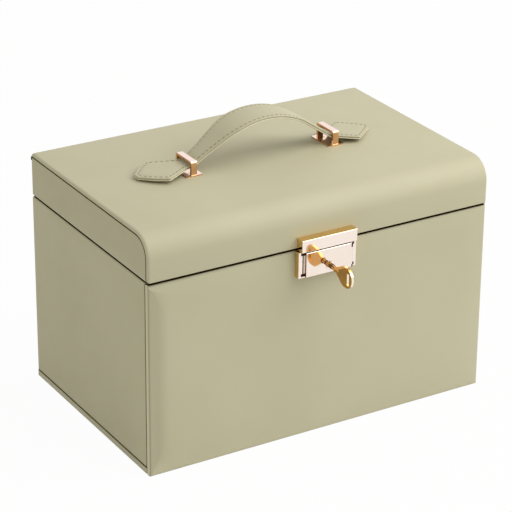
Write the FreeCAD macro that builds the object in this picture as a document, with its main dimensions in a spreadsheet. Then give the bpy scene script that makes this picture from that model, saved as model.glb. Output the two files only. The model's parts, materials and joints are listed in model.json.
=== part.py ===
"""Jewellery case: lift lid, drop front, three drawers, sliding ring tray and a keyed box lock.

Millimetres. The origin is the middle of the underside, X to the right, Y to the back, Z up.
"""
import FreeCAD
import Part
import Sketcher
import math
import os
import re

# Driving sizes: name, millimetres or degrees or count, meaning
SIZES = (
    ("case_width", 300, "outside width"),
    ("case_depth", 190, "outside depth"),
    ("case_height", 194.5, "floor to lid top"),
    ("lid_height", 35.9, "lid edge to lid top"),
    ("lid_gap", 1.2, "line between lid and case"),
    ("skin", 1, "leather under the base"),
    ("skin_inset", 2, "leather under the base, set in from the edge"),
    ("base_thickness", 3.5, "base board"),
    ("floor_thickness", 7, "raised floor of the drawer bay"),
    ("wall_thickness", 5, "side boards"),
    ("cover_thickness", 1.8, "padded side panels"),
    ("cover_round", 1.2, "edge of the padded side panels"),
    ("seam", 0.3, "sewn seam around an inset panel"),
    ("back_thickness", 5, "back board"),
    ("back_round", 0.6, "upright edges of the back board"),
    ("front_thickness", 4.8, "drop front, board and cover"),
    ("front_cover", 1.6, "padded cover of the drop front"),
    ("front_round", 1.1, "edges of the drop front"),
    ("front_play", 0.4, "drop front to the boards behind it"),
    ("fold_height", 0.6, "leather fold above the floor"),
    ("fold_inset", 0.5, "leather fold behind the front face"),
    ("lining", 1.3, "velvet lining of the drop front"),
    ("lining_low", 13, "lower edge of the front lining"),
    ("lining_top", 2.4, "front lining below the case edge"),
    ("shelf", 3, "shelves and compartment floor"),
    ("bay_1", 36.5, "clear height of the bottom drawer bay"),
    ("bay_2", 34, "clear height of the middle drawer bay"),
    ("cell_depth", 38.4, "case edge to the floor of the top compartment"),
    ("drawer_setback", 14.9, "front lining to drawer fronts"),
    ("drawer_front", 4, "drawer front board"),
    ("drawer_wall", 2.5, "drawer sides and bottom"),
    ("drawer_play", 0.5, "drawer to its bay at the sides"),
    ("drawer_foot", 0.3, "drawer above its shelf"),
    ("drawer_head", 1, "drawer below the next shelf"),
    ("drawer_rear", 8, "drawer to the back board"),
    ("drawer_lip", 5, "drawer sides lower than the drawer front"),
    ("divider", 1.6, "dividers"),
    ("knob_length", 10.5, "knob proud of the drawer front"),
    ("knob_radius", 5, "knob head"),
    ("knob_neck", 2.6, "knob neck"),
    ("knob_stud", 1.5, "knob stud through the front"),
    ("knob_foot", 1, "knob foot thickness"),
    ("knob_foot_radius", 4, "knob foot"),
    ("knob_flare", 1.2, "slope from the knob foot to its neck"),
    ("knob_cap", 5.8, "drawer front to where the knob is thickest"),
    ("knob_crown", 3.5, "flat end of the knob"),
    ("divider_drop", 3, "dividers below the drawer sides"),
    ("rail_thickness", 4, "front rail"),
    ("rail_play", 0.3, "front lining to front rail"),
    ("lip_thickness", 2, "lip boards inside the case edge"),
    ("lip_rise", 4, "lip boards above the case edge"),
    ("runner_width", 4, "tray runner"),
    ("runner_thickness", 3, "tray runner"),
    ("runner_drop", 23, "case edge to runner underside"),
    ("tray_depth", 80, "sliding tray, front to back"),
    ("tray_height", 20, "sliding tray"),
    ("tray_play", 0.4, "sliding tray to lip boards"),
    ("cell_height", 13, "dividers of the top compartment"),
    ("roll_play", 0.3, "between ring rolls"),
    ("lid_board", 4, "bent lid board"),
    ("lid_front_round", 18, "front top edge of the lid"),
    ("lid_back_round", 4, "back top edge of the lid"),
    ("lid_edge_round", 1, "lower edges of the lid"),
    ("lid_end", 5, "inset lid ends"),
    ("lid_end_inset", 0.3, "lid ends behind the lid edge"),
    ("lid_pad", 3, "padded lid ceiling"),
    ("mirror_frame", 3, "mirror frame thickness"),
    ("mirror_border", 7, "mirror frame border"),
    ("mirror_glass", 2, "mirror glass"),
    ("mirror_width", 236, "mirror frame width"),
    ("mirror_depth", 144, "mirror frame depth"),
    ("strike_width", 48.6, "upper half of the lock"),
    ("strike_depth", 8, "upper half of the lock, proud of the front"),
    ("strike_height", 9.8, "upper half of the lock"),
    ("strike_drop", 0.8, "upper half of the lock below the lid edge"),
    ("lock_width", 51, "lower half of the lock"),
    ("lock_depth", 5, "lower half of the lock, proud of the front"),
    ("lock_height", 21.3, "lower half of the lock"),
    ("lock_gap", 0.5, "between the halves of the lock"),
    ("lock_wall", 0.8, "lock case walls"),
    ("lock_room", 38, "width of the room for the hook"),
    ("plate_width", 41, "raised lock plate"),
    ("plate_margin", 1.2, "lock plate above the case's lower edge"),
    ("metal_round", 0.45, "edges of the lock and loops"),
    ("notch_width", 3, "corner notches of the lock"),
    ("notch_height", 3, "upper corner notches of the lock"),
    ("notch_low_height", 2.4, "lower corner notches of the lock"),
    ("groove_width", 0.3, "grooves beside the lock plate"),
    ("groove_depth", 2.5, "grooves and notches of the lock"),
    ("plug_height", 14, "lock cylinder below the top of the lock case"),
    ("plug_radius", 3.6, "lock cylinder"),
    ("plug_play", 0.05, "lock cylinder in its hole"),
    ("plug_length", 11.6, "lock cylinder"),
    ("plug_wall", 1, "end wall of the lock cylinder"),
    ("hook_inner", 15.6, "hook bolt inner radius"),
    ("hook_outer", 18, "hook bolt outer radius"),
    ("hook_play", 0.3, "hook bolt in its slots"),
    ("hook_thickness", 2, "hook bolt"),
    ("hook_back", 1.6, "front face to the back of the hook"),
    ("hook_start", -20.5, "lower end of the hook, degrees"),
    ("hook_span", 66.5, "length of the hook, degrees"),
    ("hook_arm", 8, "arm of the hook, degrees"),
    ("hook_overlap", 0.4, "arm of the hook inside its band"),
    ("hook_hub", 5.6, "hub of the hook"),
    ("key_radius", 1.7, "key shank"),
    ("key_play", 0.08, "key in the lock cylinder"),
    ("key_tip", 10, "key inside the lock"),
    ("key_shank", 10, "key shank outside the lock"),
    ("key_collar", 2.7, "key collar"),
    ("key_ring", 1, "thickness of the key's collar"),
    ("key_shoulder", 1.2, "thickness of the key's shoulder"),
    ("key_shoulder_radius", 2.4, "key shoulder"),
    ("key_root", 3, "key shank inside the bow"),
    ("key_root_radius", 1.36, "key shank inside the bow"),
    ("key_bit", 1, "key bit thickness"),
    ("key_bit_reach", 3, "key bit from the axis"),
    ("key_bit_root", 1, "inner edge of the key bit from the axis"),
    ("key_bit_start", 4.5, "lock face to the key bit"),
    ("key_bit_end", 9, "lock face to the far end of the key bit"),
    ("bow_length", 21.5, "key bow"),
    ("bow_height", 16.2, "key bow"),
    ("bow_thickness", 1.8, "key bow"),
    ("bow_drop", 1.2, "middle of the bow below the shank"),
    ("bow_slot_drop", 1.8, "slot in the key bow below the shank"),
    ("bow_taper", 9, "length of the bow's narrow part"),
    ("bow_neck", 4, "narrow end of the bow"),
    ("bow_round", 7.9, "round end of the bow"),
    ("bow_shoulder_round", 8, "round shoulders of the bow"),
    ("bow_slot_place", 17.6, "narrow end of the bow to its slot"),
    ("bow_slot", 2.6, "slot in the key bow"),
    ("bow_slot_length", 9.5, "slot in the key bow"),
    ("screw_head", 2, "screw head radius"),
    ("screw_shank", 1.1, "screw shank radius"),
    ("screw_sink", 0.9, "depth of the countersunk head"),
    ("strike_screw_place", 19.9, "strike screws to the middle"),
    ("strike_screw_drop", 3.2, "strike screws below the top of the strike"),
    ("lock_screw_low", 1.5, "lower lock screws below the cylinder"),
    ("lock_screw_high", 6, "upper lock screws above the cylinder"),
    ("hinge_place", 85, "hinge to the middle"),
    ("hinge_width", 30, "back hinge"),
    ("hinge_leaf", 1, "hinge leaf"),
    ("hinge_leaf_height", 15, "hinge leaf"),
    ("hinge_set", 2.6, "hinge axis behind the back"),
    ("hinge_screw_place", 9, "hinge screws to the middle of the hinge"),
    ("hinge_screw_rise", 9.3, "hinge screws to the hinge axis"),
    ("hinge_screw_reach", 2.8, "hinge screws in the boards"),
    ("knuckle_radius", 2.2, "hinge knuckle"),
    ("knuckle_play", 0.2, "between knuckles"),
    ("pin_radius", 1, "hinge pin"),
    ("pin_play", 0.05, "hinge pin in its knuckles"),
    ("magnet_radius", 5, "magnet"),
    ("magnet_thickness", 1.5, "magnet"),
    ("magnet_place", 115, "magnet to the middle"),
    ("magnet_drop", 8, "magnet below the case edge"),
    ("loop_place", 63.7, "handle loop to the middle"),
    ("loop_width", 5, "handle loop bar"),
    ("loop_span", 24.2, "handle loop outside width"),
    ("loop_strip", 1.9, "handle loop strip"),
    ("loop_rise", 12, "handle loop above the lid"),
    ("loop_base", 0.9, "handle loop base plate"),
    ("loop_base_width", 14, "handle loop base plate"),
    ("loop_base_span", 25.4, "handle loop base plate"),
    ("loop_screw_place", 6.5, "handle loop screws from the middle of the loop"),
    ("handle_set", 1.8, "handle behind the middle of the lid"),
    ("strap_width", 18, "strap inside the loops"),
    ("strap_middle", 30.4, "strap in the middle"),
    ("strap_swell", 24, "end of the strap's wide middle"),
    ("strap_waist", 54, "where the strap is down to its width inside the loops"),
    ("strap_layer", 1.5, "outer layer of the strap"),
    ("strap_backing", 1.2, "inner layer of the strap"),
    ("strap_crown", 37.1, "top of the strap above the lid"),
    ("strap_crown_radius", 65.4, "outside of the strap's bow"),
    ("strap_flank", 34.4, "slope of the strap, degrees"),
    ("strap_ankle_radius", 12, "bend of the strap at the loops"),
    ("strap_toe", 5.7, "slope of the strap's ends, degrees"),
    ("strap_reach", 105.5, "strap end to the middle"),
    ("strap_left_rise", 0.6, "left end of the strap above the right end"),
    ("tab_shoulder", 87.5, "widest place of the strap's left end"),
    ("tab_shoulder_right", 83.5, "widest place of the strap's right end"),
    ("tab_width", 39.4, "width of the strap's end"),
    ("tab_neck", 67.5, "where the strap starts to widen"),
    ("tab_nose", 6, "blunt width of the strap's tip"),
    ("tab_drift", 0.08, "run of the left end to the back, per length"),
    ("tab_drift_right", 0.17, "run of the right end to the back, per length"),
    ("strap_step", 0.4, "inner layer of the strap inside the outer one"),
)

doc = FreeCAD.newDocument("jewellery_case")
sheet = doc.addObject("Spreadsheet::Sheet", "sizes")
for row, (alias, amount, meaning) in enumerate(SIZES, start=1):
    sheet.set(f"A{row}", meaning)
    sheet.set(f"B{row}", str(amount))
    sheet.setAlias(f"B{row}", alias)
layout = doc.addObject("App::VarSet", "layout")
doc.recompute()

SIZE_NAMES = {alias for alias, amount, meaning in SIZES}
PLACE_NAMES = set()
NODES = []


def formula(text):
    """Write out where each size or place in a formula is kept."""
    def full(found):
        word = found.group(0)
        if word in SIZE_NAMES:
            return f"sizes.{word}"
        return f"layout.{word}" if word in PLACE_NAMES else word
    return re.sub(r"[A-Za-z_][A-Za-z_0-9]*", full, str(text))


def place(name, text):
    """Name a place that follows from the sizes."""
    layout.addProperty("App::PropertyFloat", name, "Places", "")
    layout.setExpression(name, formula(text))
    PLACE_NAMES.add(name)


def size(alias):
    """Give a driving size as a number."""
    return float(sheet.get(alias))


def at(name):
    """Give a place as a number."""
    return float(getattr(layout, name))


place("right", "case_width / 2")
place("front", "-case_depth / 2")
place("back", "case_depth / 2")
place("lid_low", "case_height - lid_height")
place("body_top", "lid_low - lid_gap")
place("base_top", "skin + base_thickness")
place("floor_top", "base_top + floor_thickness")
place("wall_out", "right - cover_thickness")
place("wall_in", "wall_out - wall_thickness")
place("door_back", "front + front_thickness")
place("board_front", "door_back + front_play")
place("lining_back", "door_back + lining")
place("rail_front", "lining_back + rail_play")
place("rail_back", "rail_front + rail_thickness")
place("back_in", "back - back_thickness")
place("fold_y", "front + fold_inset")
place("drawer_face", "lining_back + drawer_setback")
place("drawer_back", "back_in - drawer_rear")
place("shelf_1_low", "floor_top + bay_1")
place("shelf_1_top", "shelf_1_low + shelf")
place("shelf_2_low", "shelf_1_top + bay_2")
place("shelf_2_top", "shelf_2_low + shelf")
place("cell_floor", "body_top - cell_depth")
place("cell_floor_low", "cell_floor - shelf")
place("lip_top", "body_top + lip_rise")
place("lip_in", "wall_in - lip_thickness")
place("lip_front", "rail_back + lip_thickness")
place("lip_back", "back_in - lip_thickness")
place("runner_low", "body_top - runner_drop")
place("runner_top", "runner_low + runner_thickness")
place("tray_low", "runner_top + drawer_foot")
place("tray_top", "tray_low + tray_height")
place("tray_back", "lip_back - tray_play")
place("tray_front", "tray_back - tray_depth")
place("tray_side", "lip_in - tray_play")
place("lid_in_top", "case_height - lid_board")
place("lid_in_front", "front + lid_board")
place("lid_in_back", "back - lid_board")
place("pad_low", "lid_in_top - lid_pad")
place("frame_low", "pad_low - mirror_frame")
place("strike_low", "lid_low - strike_drop")
place("strike_top", "strike_low + strike_height")
place("strike_face", "front - strike_depth")
place("lock_top", "strike_low - lock_gap")
place("lock_low", "lock_top - lock_height")
place("lock_face", "front - lock_depth")
place("plug_z", "lock_top - plug_height")
place("plug_back", "strike_face + plug_length")
place("hook_rear", "front - hook_back")
place("hinge_y", "back + hinge_set")
place("hinge_z", "lid_low - lid_gap / 2")
place("magnet_z", "body_top - magnet_drop")
place("loop_top", "case_height + loop_rise")
place("key_face", "strike_face - key_play * 3")
doc.recompute()


def keep(piece, name):
    """Make an object one of the case's sub-parts."""
    piece.Label = name
    NODES.append(piece)
    return piece


def box(name, low, high):
    """Make a board between two corners that are given as formulas."""
    board = doc.addObject("Part::Box", name)
    for side, start, end in zip(("Length", "Width", "Height"), low, high):
        board.setExpression(side, formula(f"({end}) - ({start})"))
    for axis, start in zip("xyz", low):
        board.setExpression(f"Placement.Base.{axis}", formula(start))
    return board


def rod(name, centre, radius, length, turn=(FreeCAD.Vector(0, 0, 1), 0)):
    """Make a round rod that starts at a centre; turn is an axis and an angle."""
    piece = doc.addObject("Part::Cylinder", name)
    piece.Placement = FreeCAD.Placement(FreeCAD.Vector(), FreeCAD.Rotation(*turn))
    piece.setExpression("Radius", formula(radius))
    piece.setExpression("Height", formula(length))
    for axis, start in zip("xyz", centre):
        piece.setExpression(f"Placement.Base.{axis}", formula(start))
    return piece


TO_FRONT = (FreeCAD.Vector(1, 0, 0), 90)
TO_BACK = (FreeCAD.Vector(1, 0, 0), -90)
TO_RIGHT = (FreeCAD.Vector(0, 1, 0), 90)


def joined(name, pieces):
    """Fuse pieces into one solid."""
    piece = doc.addObject("Part::MultiFuse", name)
    piece.Shapes = pieces
    return piece


def group(name, pieces):
    """Keep separate solids in one sub-part."""
    piece = doc.addObject("Part::Compound", name)
    piece.Links = pieces
    return piece


def cut(name, base, tools):
    """Cut tools out of a base."""
    piece = doc.addObject("Part::Cut", name)
    piece.Base = base
    piece.Tool = tools[0] if len(tools) == 1 else group(f"{name}_tools", tools)
    return piece


def mirrored(name, source):
    """Make the right-hand copy of a left-hand piece, or the other way round."""
    piece = doc.addObject("Part::Mirroring", name)
    piece.Source = source
    piece.Normal = (1, 0, 0)
    return piece


def add_outline(body, plane, points, start="0"):
    """Add a closed sketch whose corners are bound to formulas."""
    sketch = body.newObject("Sketcher::SketchObject", f"{body.Name}_outline")
    origin = next(item for item in body.Origin.OriginFeatures if item.Role == plane)
    sketch.AttachmentSupport = (origin, [""])
    sketch.MapMode = "FlatFace"
    sketch.setExpression("AttachmentOffset.Base.z", formula(start))
    count = len(points)
    ring = [FreeCAD.Vector(50 * math.cos(2 * math.pi * index / count),
                           50 * math.sin(2 * math.pi * index / count), 0) for index in range(count)]
    for index in range(count):
        sketch.addGeometry(Part.LineSegment(ring[index], ring[(index + 1) % count]), False)
    for index in range(count):
        sketch.addConstraint(Sketcher.Constraint("Coincident", index, 2, (index + 1) % count, 1))
    for index, (across, upward) in enumerate(points):
        for kind, text, start_value in (("DistanceX", across, ring[index].x), ("DistanceY", upward, ring[index].y)):
            number = sketch.addConstraint(Sketcher.Constraint(kind, -1, 1, index, 1, start_value))
            sketch.setExpression(f"Constraints[{number}]", formula(text))
    return sketch


def add_pad(body, plane, points, length, start="0", both_ways=False):
    """Add a prism over a closed outline."""
    sketch = add_outline(body, plane, points, start)
    pad = body.newObject("PartDesign::Pad", f"{body.Name}_pad")
    pad.Profile = sketch
    pad.setExpression("Length", formula(length))
    pad.Midplane = both_ways
    body.Tip = pad
    doc.recompute()
    return pad


def prism(name, plane, points, length, start="0", both_ways=False):
    """Make a body that is one prism."""
    body = doc.addObject("PartDesign::Body", name)
    add_pad(body, plane, points, length, start, both_ways)
    return body


def nearest_edge(shape, spot):
    """Name the edge whose middle lies nearest to a spot."""
    target = FreeCAD.Vector(*spot)
    gaps = [(edge.CenterOfMass.sub(target).Length, number) for number, edge in enumerate(shape.Edges, 1)]
    return f"Edge{min(gaps)[1]}"


def soften(body, spots, radius):
    """Round the edges nearest to the given spots."""
    last = body.Tip
    edges = sorted({nearest_edge(last.Shape, spot) for spot in spots})
    fillet = body.newObject("PartDesign::Fillet", f"{body.Name}_round")
    fillet.Base = (last, edges)
    fillet.setExpression("Radius", formula(radius))
    body.Tip = fillet
    doc.recompute()
    return fillet


def turned(name, points):
    """Turn a body about the Y axis; points are distance along it and radius."""
    body = doc.addObject("PartDesign::Body", name)
    sketch = add_outline(body, "YZ_Plane", points)
    turn = body.newObject("PartDesign::Revolution", f"{name}_turn")
    turn.Profile = sketch
    turn.ReferenceAxis = (sketch, ["H_Axis"])
    turn.Angle = 360
    body.Tip = turn
    doc.recompute()
    return body


def moved(piece, x="0", y="0", z="0"):
    """Bind a piece's place to formulas."""
    for axis, text in zip("xyz", (x, y, z)):
        piece.setExpression(f"Placement.Base.{axis}", formula(text))
    return piece


def screws(name, spots, turn, length):
    """Make countersunk screws whose heads lie at the spots and that point along the turned Z."""
    solids = []
    for number, spot in enumerate(spots, start=1):
        head = doc.addObject("Part::Cone", f"{name}_head_{number}")
        head.Placement = FreeCAD.Placement(FreeCAD.Vector(), FreeCAD.Rotation(*turn))
        head.setExpression("Radius1", formula("screw_head"))
        head.setExpression("Radius2", formula("screw_shank"))
        head.setExpression("Height", formula("screw_sink"))
        moved(head, *spot)
        shank = rod(f"{name}_shank_{number}", spot, "screw_shank", length, turn)
        solids.append(joined(f"{name}_{number}", [head, shank]))
    return group(name, solids)


def make_hinges():
    """Make two back hinges: lower leaves, upper leaves, pins and screws."""
    segment = "hinge_width / 5"
    leaves = {"lower": [], "upper": []}
    pins = []
    for side, sign in (("left", "-1"), ("right", "1")):
        middle = f"({sign} * hinge_place)"
        start = f"({middle} - hinge_width / 2)"
        pins.append(rod(f"hinge_pin_{side}", (start, "hinge_y", "hinge_z"), "pin_radius", "hinge_width", TO_RIGHT))
        for leaf, knuckles, outward in (("lower", (0, 2, 4), "-1"), ("upper", (1, 3), "1")):
            near = "knuckle_radius + 2 * knuckle_play"
            far = "hinge_leaf_height"
            low, high = (f"hinge_z - {far}", f"hinge_z - ({near})") if leaf == "lower" else (
                f"hinge_z + {near}", f"hinge_z + {far}")
            parts = [box(f"hinge_{leaf}_{side}_plate", (start, "back", low),
                         (f"{start} + hinge_width", "back + hinge_leaf", high))]
            for number in knuckles:
                first = f"{start} + {number} * {segment} + knuckle_play / 2"
                length = f"{segment} - knuckle_play"
                parts.append(rod(f"hinge_{leaf}_{side}_knuckle_{number}", (first, "hinge_y", "hinge_z"),
                                 "knuckle_radius", length, TO_RIGHT))
                inner = f"hinge_z + {outward} * ({near})"
                ends = (inner, "hinge_z") if leaf == "lower" else ("hinge_z", inner)
                parts.append(box(f"hinge_{leaf}_{side}_strap_{number}",
                                 (first, "hinge_y - knuckle_radius", ends[0]),
                                 (f"{first} + {length}", "back + hinge_leaf", ends[1])))
            bore = rod(f"hinge_{leaf}_{side}_bore", (f"{start} - 1", "hinge_y", "hinge_z"),
                       "pin_radius + pin_play", "hinge_width + 2", TO_RIGHT)
            leaves[leaf].append(cut(f"hinge_{leaf}_{side}", joined(f"hinge_{leaf}_{side}_blank", parts), [bore]))
    spots = {"lower": [], "upper": []}
    for leaf, outward in (("lower", "-1"), ("upper", "1")):
        for sign in ("-1", "1"):
            for offset in ("-1", "1"):
                spots[leaf].append((f"{sign} * hinge_place + {offset} * hinge_screw_place", "back + hinge_leaf",
                                    f"hinge_z + {outward} * hinge_screw_rise"))
    lower_screws = screws("hinge_lower_screws", spots["lower"], TO_FRONT, "hinge_leaf + hinge_screw_reach")
    upper_screws = screws("hinge_upper_screws", spots["upper"], TO_FRONT, "hinge_leaf + hinge_screw_reach")
    keep(cut("hinge_lower_leaves", group("hinge_lower_pair", leaves["lower"]), [lower_screws]), "hinge_lower_leaves")
    keep(cut("hinge_upper_leaves", group("hinge_upper_pair", leaves["upper"]), [upper_screws]), "hinge_upper_leaves")
    keep(group("hinge_pins", pins), "hinge_pins")
    keep(lower_screws, "hinge_lower_screws")
    keep(upper_screws, "hinge_upper_screws")
    return lower_screws, upper_screws


def make_carcass(lower_screws):
    """Make the boards, covers and shelves that stand still."""
    keep(box("base_skin", ("-right + skin_inset", "fold_y + front_cover", "0"),
             ("right - skin_inset", "back - skin_inset", "skin")), "base_skin")
    base = prism("base_board", "XY_Plane", (("-right", "board_front"), ("right", "board_front"),
                                            ("right", "back"), ("-right", "back")), "base_thickness", "skin")
    low = size("skin")
    soften(base, [(-at("right"), 0, low), (at("right"), 0, low), (0, at("back"), low)], "front_round")
    keep(base, "base_board")
    keep(box("floor_board", ("-wall_in", "board_front + rail_play * 3", "base_top"),
             ("wall_in", "back_in", "floor_top")), "floor_board")
    left = keep(box("left_wall", ("-wall_out", "board_front", "base_top"),
                    ("-wall_in", "back_in", "body_top")), "left_wall")
    keep(mirrored("right_wall", left), "right_wall")
    cover = prism("left_cover", "YZ_Plane",
                  (("board_front + seam", "base_top + seam"), ("back", "base_top + seam"),
                   ("back", "body_top"), ("board_front + seam", "body_top")),
                  "cover_thickness", "-right")
    middle_z = (at("base_top") + at("body_top")) / 2
    face = -at("right")
    soften(cover, [(face, at("board_front"), middle_z), (face, at("back"), middle_z),
                   (face, 0, at("base_top")), (face, 0, at("body_top"))], "cover_round")
    keep(cover, "left_cover")
    keep(mirrored("right_cover", cover), "right_cover")
    back = prism("back_board_blank", "XY_Plane",
                 (("-wall_out", "back_in"), ("wall_out", "back_in"), ("wall_out", "back"), ("-wall_out", "back")),
                 "body_top - base_top", "base_top")
    soften(back, [(-at("wall_out"), at("back"), middle_z), (at("wall_out"), at("back"), middle_z)], "back_round")
    keep(cut("back_board", back, [lower_screws]), "back_board")
    for number, low_name in ((1, "shelf_1_low"), (2, "shelf_2_low")):
        keep(box(f"shelf_{number}", ("-wall_in", "drawer_face", low_name),
                 ("wall_in", "back_in", f"{low_name} + shelf")), f"shelf_{number}")
    keep(box("compartment_floor", ("-wall_in", "rail_front", "cell_floor_low"),
             ("wall_in", "back_in", "cell_floor")), "compartment_floor")
    magnets = group("rail_magnets", [
        rod(f"rail_magnet_{side}", (f"{sign} * magnet_place", "rail_front", "magnet_z"),
            "magnet_radius", "magnet_thickness", TO_BACK) for side, sign in (("left", "-1"), ("right", "1"))])
    rail = box("front_rail_blank", ("-wall_in", "rail_front", "cell_floor"), ("wall_in", "rail_back", "body_top"))
    keep(cut("front_rail", rail, [magnets]), "front_rail")
    keep(magnets, "rail_magnets")
    lips = (
        ("lip_board_front", ("-wall_in", "rail_back"), ("wall_in", "lip_front")),
        ("lip_board_back", ("-wall_in", "lip_back"), ("wall_in", "back_in")),
        ("lip_board_left", ("-wall_in", "lip_front"), ("-lip_in", "lip_back")),
        ("lip_board_right", ("lip_in", "lip_front"), ("wall_in", "lip_back")),
    )
    keep(group("compartment_lip", [box(name, (*start, "cell_floor"), (*end, "lip_top"))
                                   for name, start, end in lips]), "compartment_lip")
    runner = box("runner_left", ("-lip_in", "lip_front", "runner_low"),
                 ("-lip_in + runner_width", "lip_back", "runner_top"))
    keep(group("tray_runners", [runner, mirrored("runner_right", runner)]), "tray_runners")
    cell_top = "cell_floor + cell_height"
    dividers = [box("divider_long", ("-lip_in", "-divider / 2", "cell_floor"), ("lip_in", "divider / 2", cell_top))]
    for number, spot in enumerate(("-lip_in / 3", "lip_in / 3"), start=1):
        dividers.append(box(f"divider_front_{number}", (f"{spot} - divider / 2", "lip_front", "cell_floor"),
                            (f"{spot} + divider / 2", "-divider / 2", cell_top)))
        dividers.append(box(f"divider_back_{number}", (f"{spot} - divider / 2", "divider / 2", "cell_floor"),
                            (f"{spot} + divider / 2", "lip_back", cell_top)))
    keep(group("compartment_dividers", dividers), "compartment_dividers")


def make_lid(upper_screws, strike_screws, loop_screws):
    """Make the lid, its mirror and the loops of the handle."""
    wrap = prism("lid_wrap_blank", "YZ_Plane",
                 (("front", "lid_low"), ("front", "case_height"), ("back", "case_height"), ("back", "lid_low"),
                  ("lid_in_back", "lid_low"), ("lid_in_back", "lid_in_top"),
                  ("lid_in_front", "lid_in_top"), ("lid_in_front", "lid_low")), "case_width", both_ways=True)
    soften(wrap, [(0, at("front"), size("case_height"))], "lid_front_round")
    soften(wrap, [(0, at("lid_in_front"), at("lid_in_top"))], "lid_front_round - lid_board")
    soften(wrap, [(0, at("back"), size("case_height"))], "lid_back_round")
    soften(wrap, [(0, at("front"), at("lid_low")), (0, at("back"), at("lid_low"))], "lid_edge_round")
    end_room = box("lid_end_room", ("-right - 1", "lid_in_back - 1", "lid_low - 1"),
                   ("-right + lid_end_inset + lid_end + seam", "back + 1", "lid_in_top"))
    keep(cut("lid_wrap", wrap, [upper_screws, strike_screws, loop_screws, end_room,
                                mirrored("lid_end_room_right", end_room)]), "lid_wrap")
    end = prism("lid_left_panel", "YZ_Plane",
                (("lid_in_front + seam", "lid_low"), ("lid_in_front + seam", "lid_in_top - seam"),
                 ("back", "lid_in_top - seam"), ("back", "lid_low")),
                "lid_end", "-right + lid_end_inset")
    middle_x = -at("right") + size("lid_end_inset") + size("lid_end") / 2
    soften(end, [(middle_x, at("lid_in_front"), at("lid_in_top"))], "lid_front_round - lid_board - seam")
    face_x = -at("right") + size("lid_end_inset")
    middle_z = (at("lid_low") + at("lid_in_top")) / 2
    soften(end, [(face_x, at("lid_in_front"), middle_z), (face_x, at("back"), middle_z),
                 (face_x, 0, at("lid_in_top")), (face_x, 0, at("lid_low"))], "cover_round")
    keep(end, "lid_left_panel")
    keep(mirrored("lid_right_panel", end), "lid_right_panel")
    pad_side = "right - lid_end_inset - lid_end - seam"
    keep(box("lid_pad", (f"-({pad_side})", "lid_in_front + lid_front_round - lid_board", "pad_low"),
             (pad_side, "lid_in_back - seam", "lid_in_top")), "lid_pad")
    frame = box("mirror_frame_blank", ("-mirror_width / 2", "-mirror_depth / 2", "frame_low"),
                ("mirror_width / 2", "mirror_depth / 2", "pad_low"))
    glass_side = "mirror_width / 2 - mirror_border"
    glass_end = "mirror_depth / 2 - mirror_border"
    glass = box("mirror", (f"-({glass_side})", f"-({glass_end})", "frame_low"),
                (glass_side, glass_end, "frame_low + mirror_glass"))
    keep(cut("mirror_frame", frame, [glass]), "mirror_frame")
    keep(glass, "mirror")
    for side, sign in (("left", "-1"), ("right", "1")):
        inner = "loop_span / 2 - loop_strip"
        under = "loop_top - loop_strip"
        loop = prism(f"handle_loop_{side}_blank", "YZ_Plane",
                     (("-loop_span / 2", "case_height"), ("-loop_span / 2", "loop_top"),
                      ("loop_span / 2", "loop_top"), ("loop_span / 2", "case_height"),
                      (inner, "case_height"), (inner, under), (f"-({inner})", under), (f"-({inner})", "case_height")),
                     "loop_width", both_ways=True)
        soften(loop, [(0, -size("loop_span") / 2, at("loop_top")), (0, size("loop_span") / 2, at("loop_top"))],
               "loop_strip * 0.9")
        add_pad(loop, "XY_Plane",
                (("-loop_base_width / 2", "-loop_base_span / 2"), ("loop_base_width / 2", "-loop_base_span / 2"),
                 ("loop_base_width / 2", "loop_base_span / 2"), ("-loop_base_width / 2", "loop_base_span / 2")),
                "loop_base", "case_height")
        moved(loop, f"{sign} * loop_place", "handle_set")
        keep(cut(f"handle_loop_{side}", loop, [loop_screws]), f"handle_loop_{side}")
    keep(loop_screws, "loop_screws")


def plate(name, half, low, high, rear, depth):
    """Make a metal block on the front with softened outer edges."""
    block = prism(name, "XZ_Plane", ((f"-({half})", low), (half, low), (half, high), (f"-({half})", high)),
                  depth, f"-({rear})")
    box_of = block.Shape.BoundBox
    middle_z = (box_of.ZMin + box_of.ZMax) / 2
    soften(block, [(box_of.XMin, box_of.YMin, middle_z), (box_of.XMax, box_of.YMin, middle_z),
                   (0, box_of.YMin, box_of.ZMin), (0, box_of.YMin, box_of.ZMax)], "metal_round")
    return block


def ring(name, inner, outer, rear, depth):
    """Make a flat ring about the lock cylinder."""
    outside = rod(f"{name}_outside", ("0", rear, "plug_z"), outer, depth, TO_FRONT)
    inside = rod(f"{name}_inside", ("0", f"{rear} + 1", "plug_z"), inner, f"{depth} + 2", TO_FRONT)
    return cut(name, outside, [inside])


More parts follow.
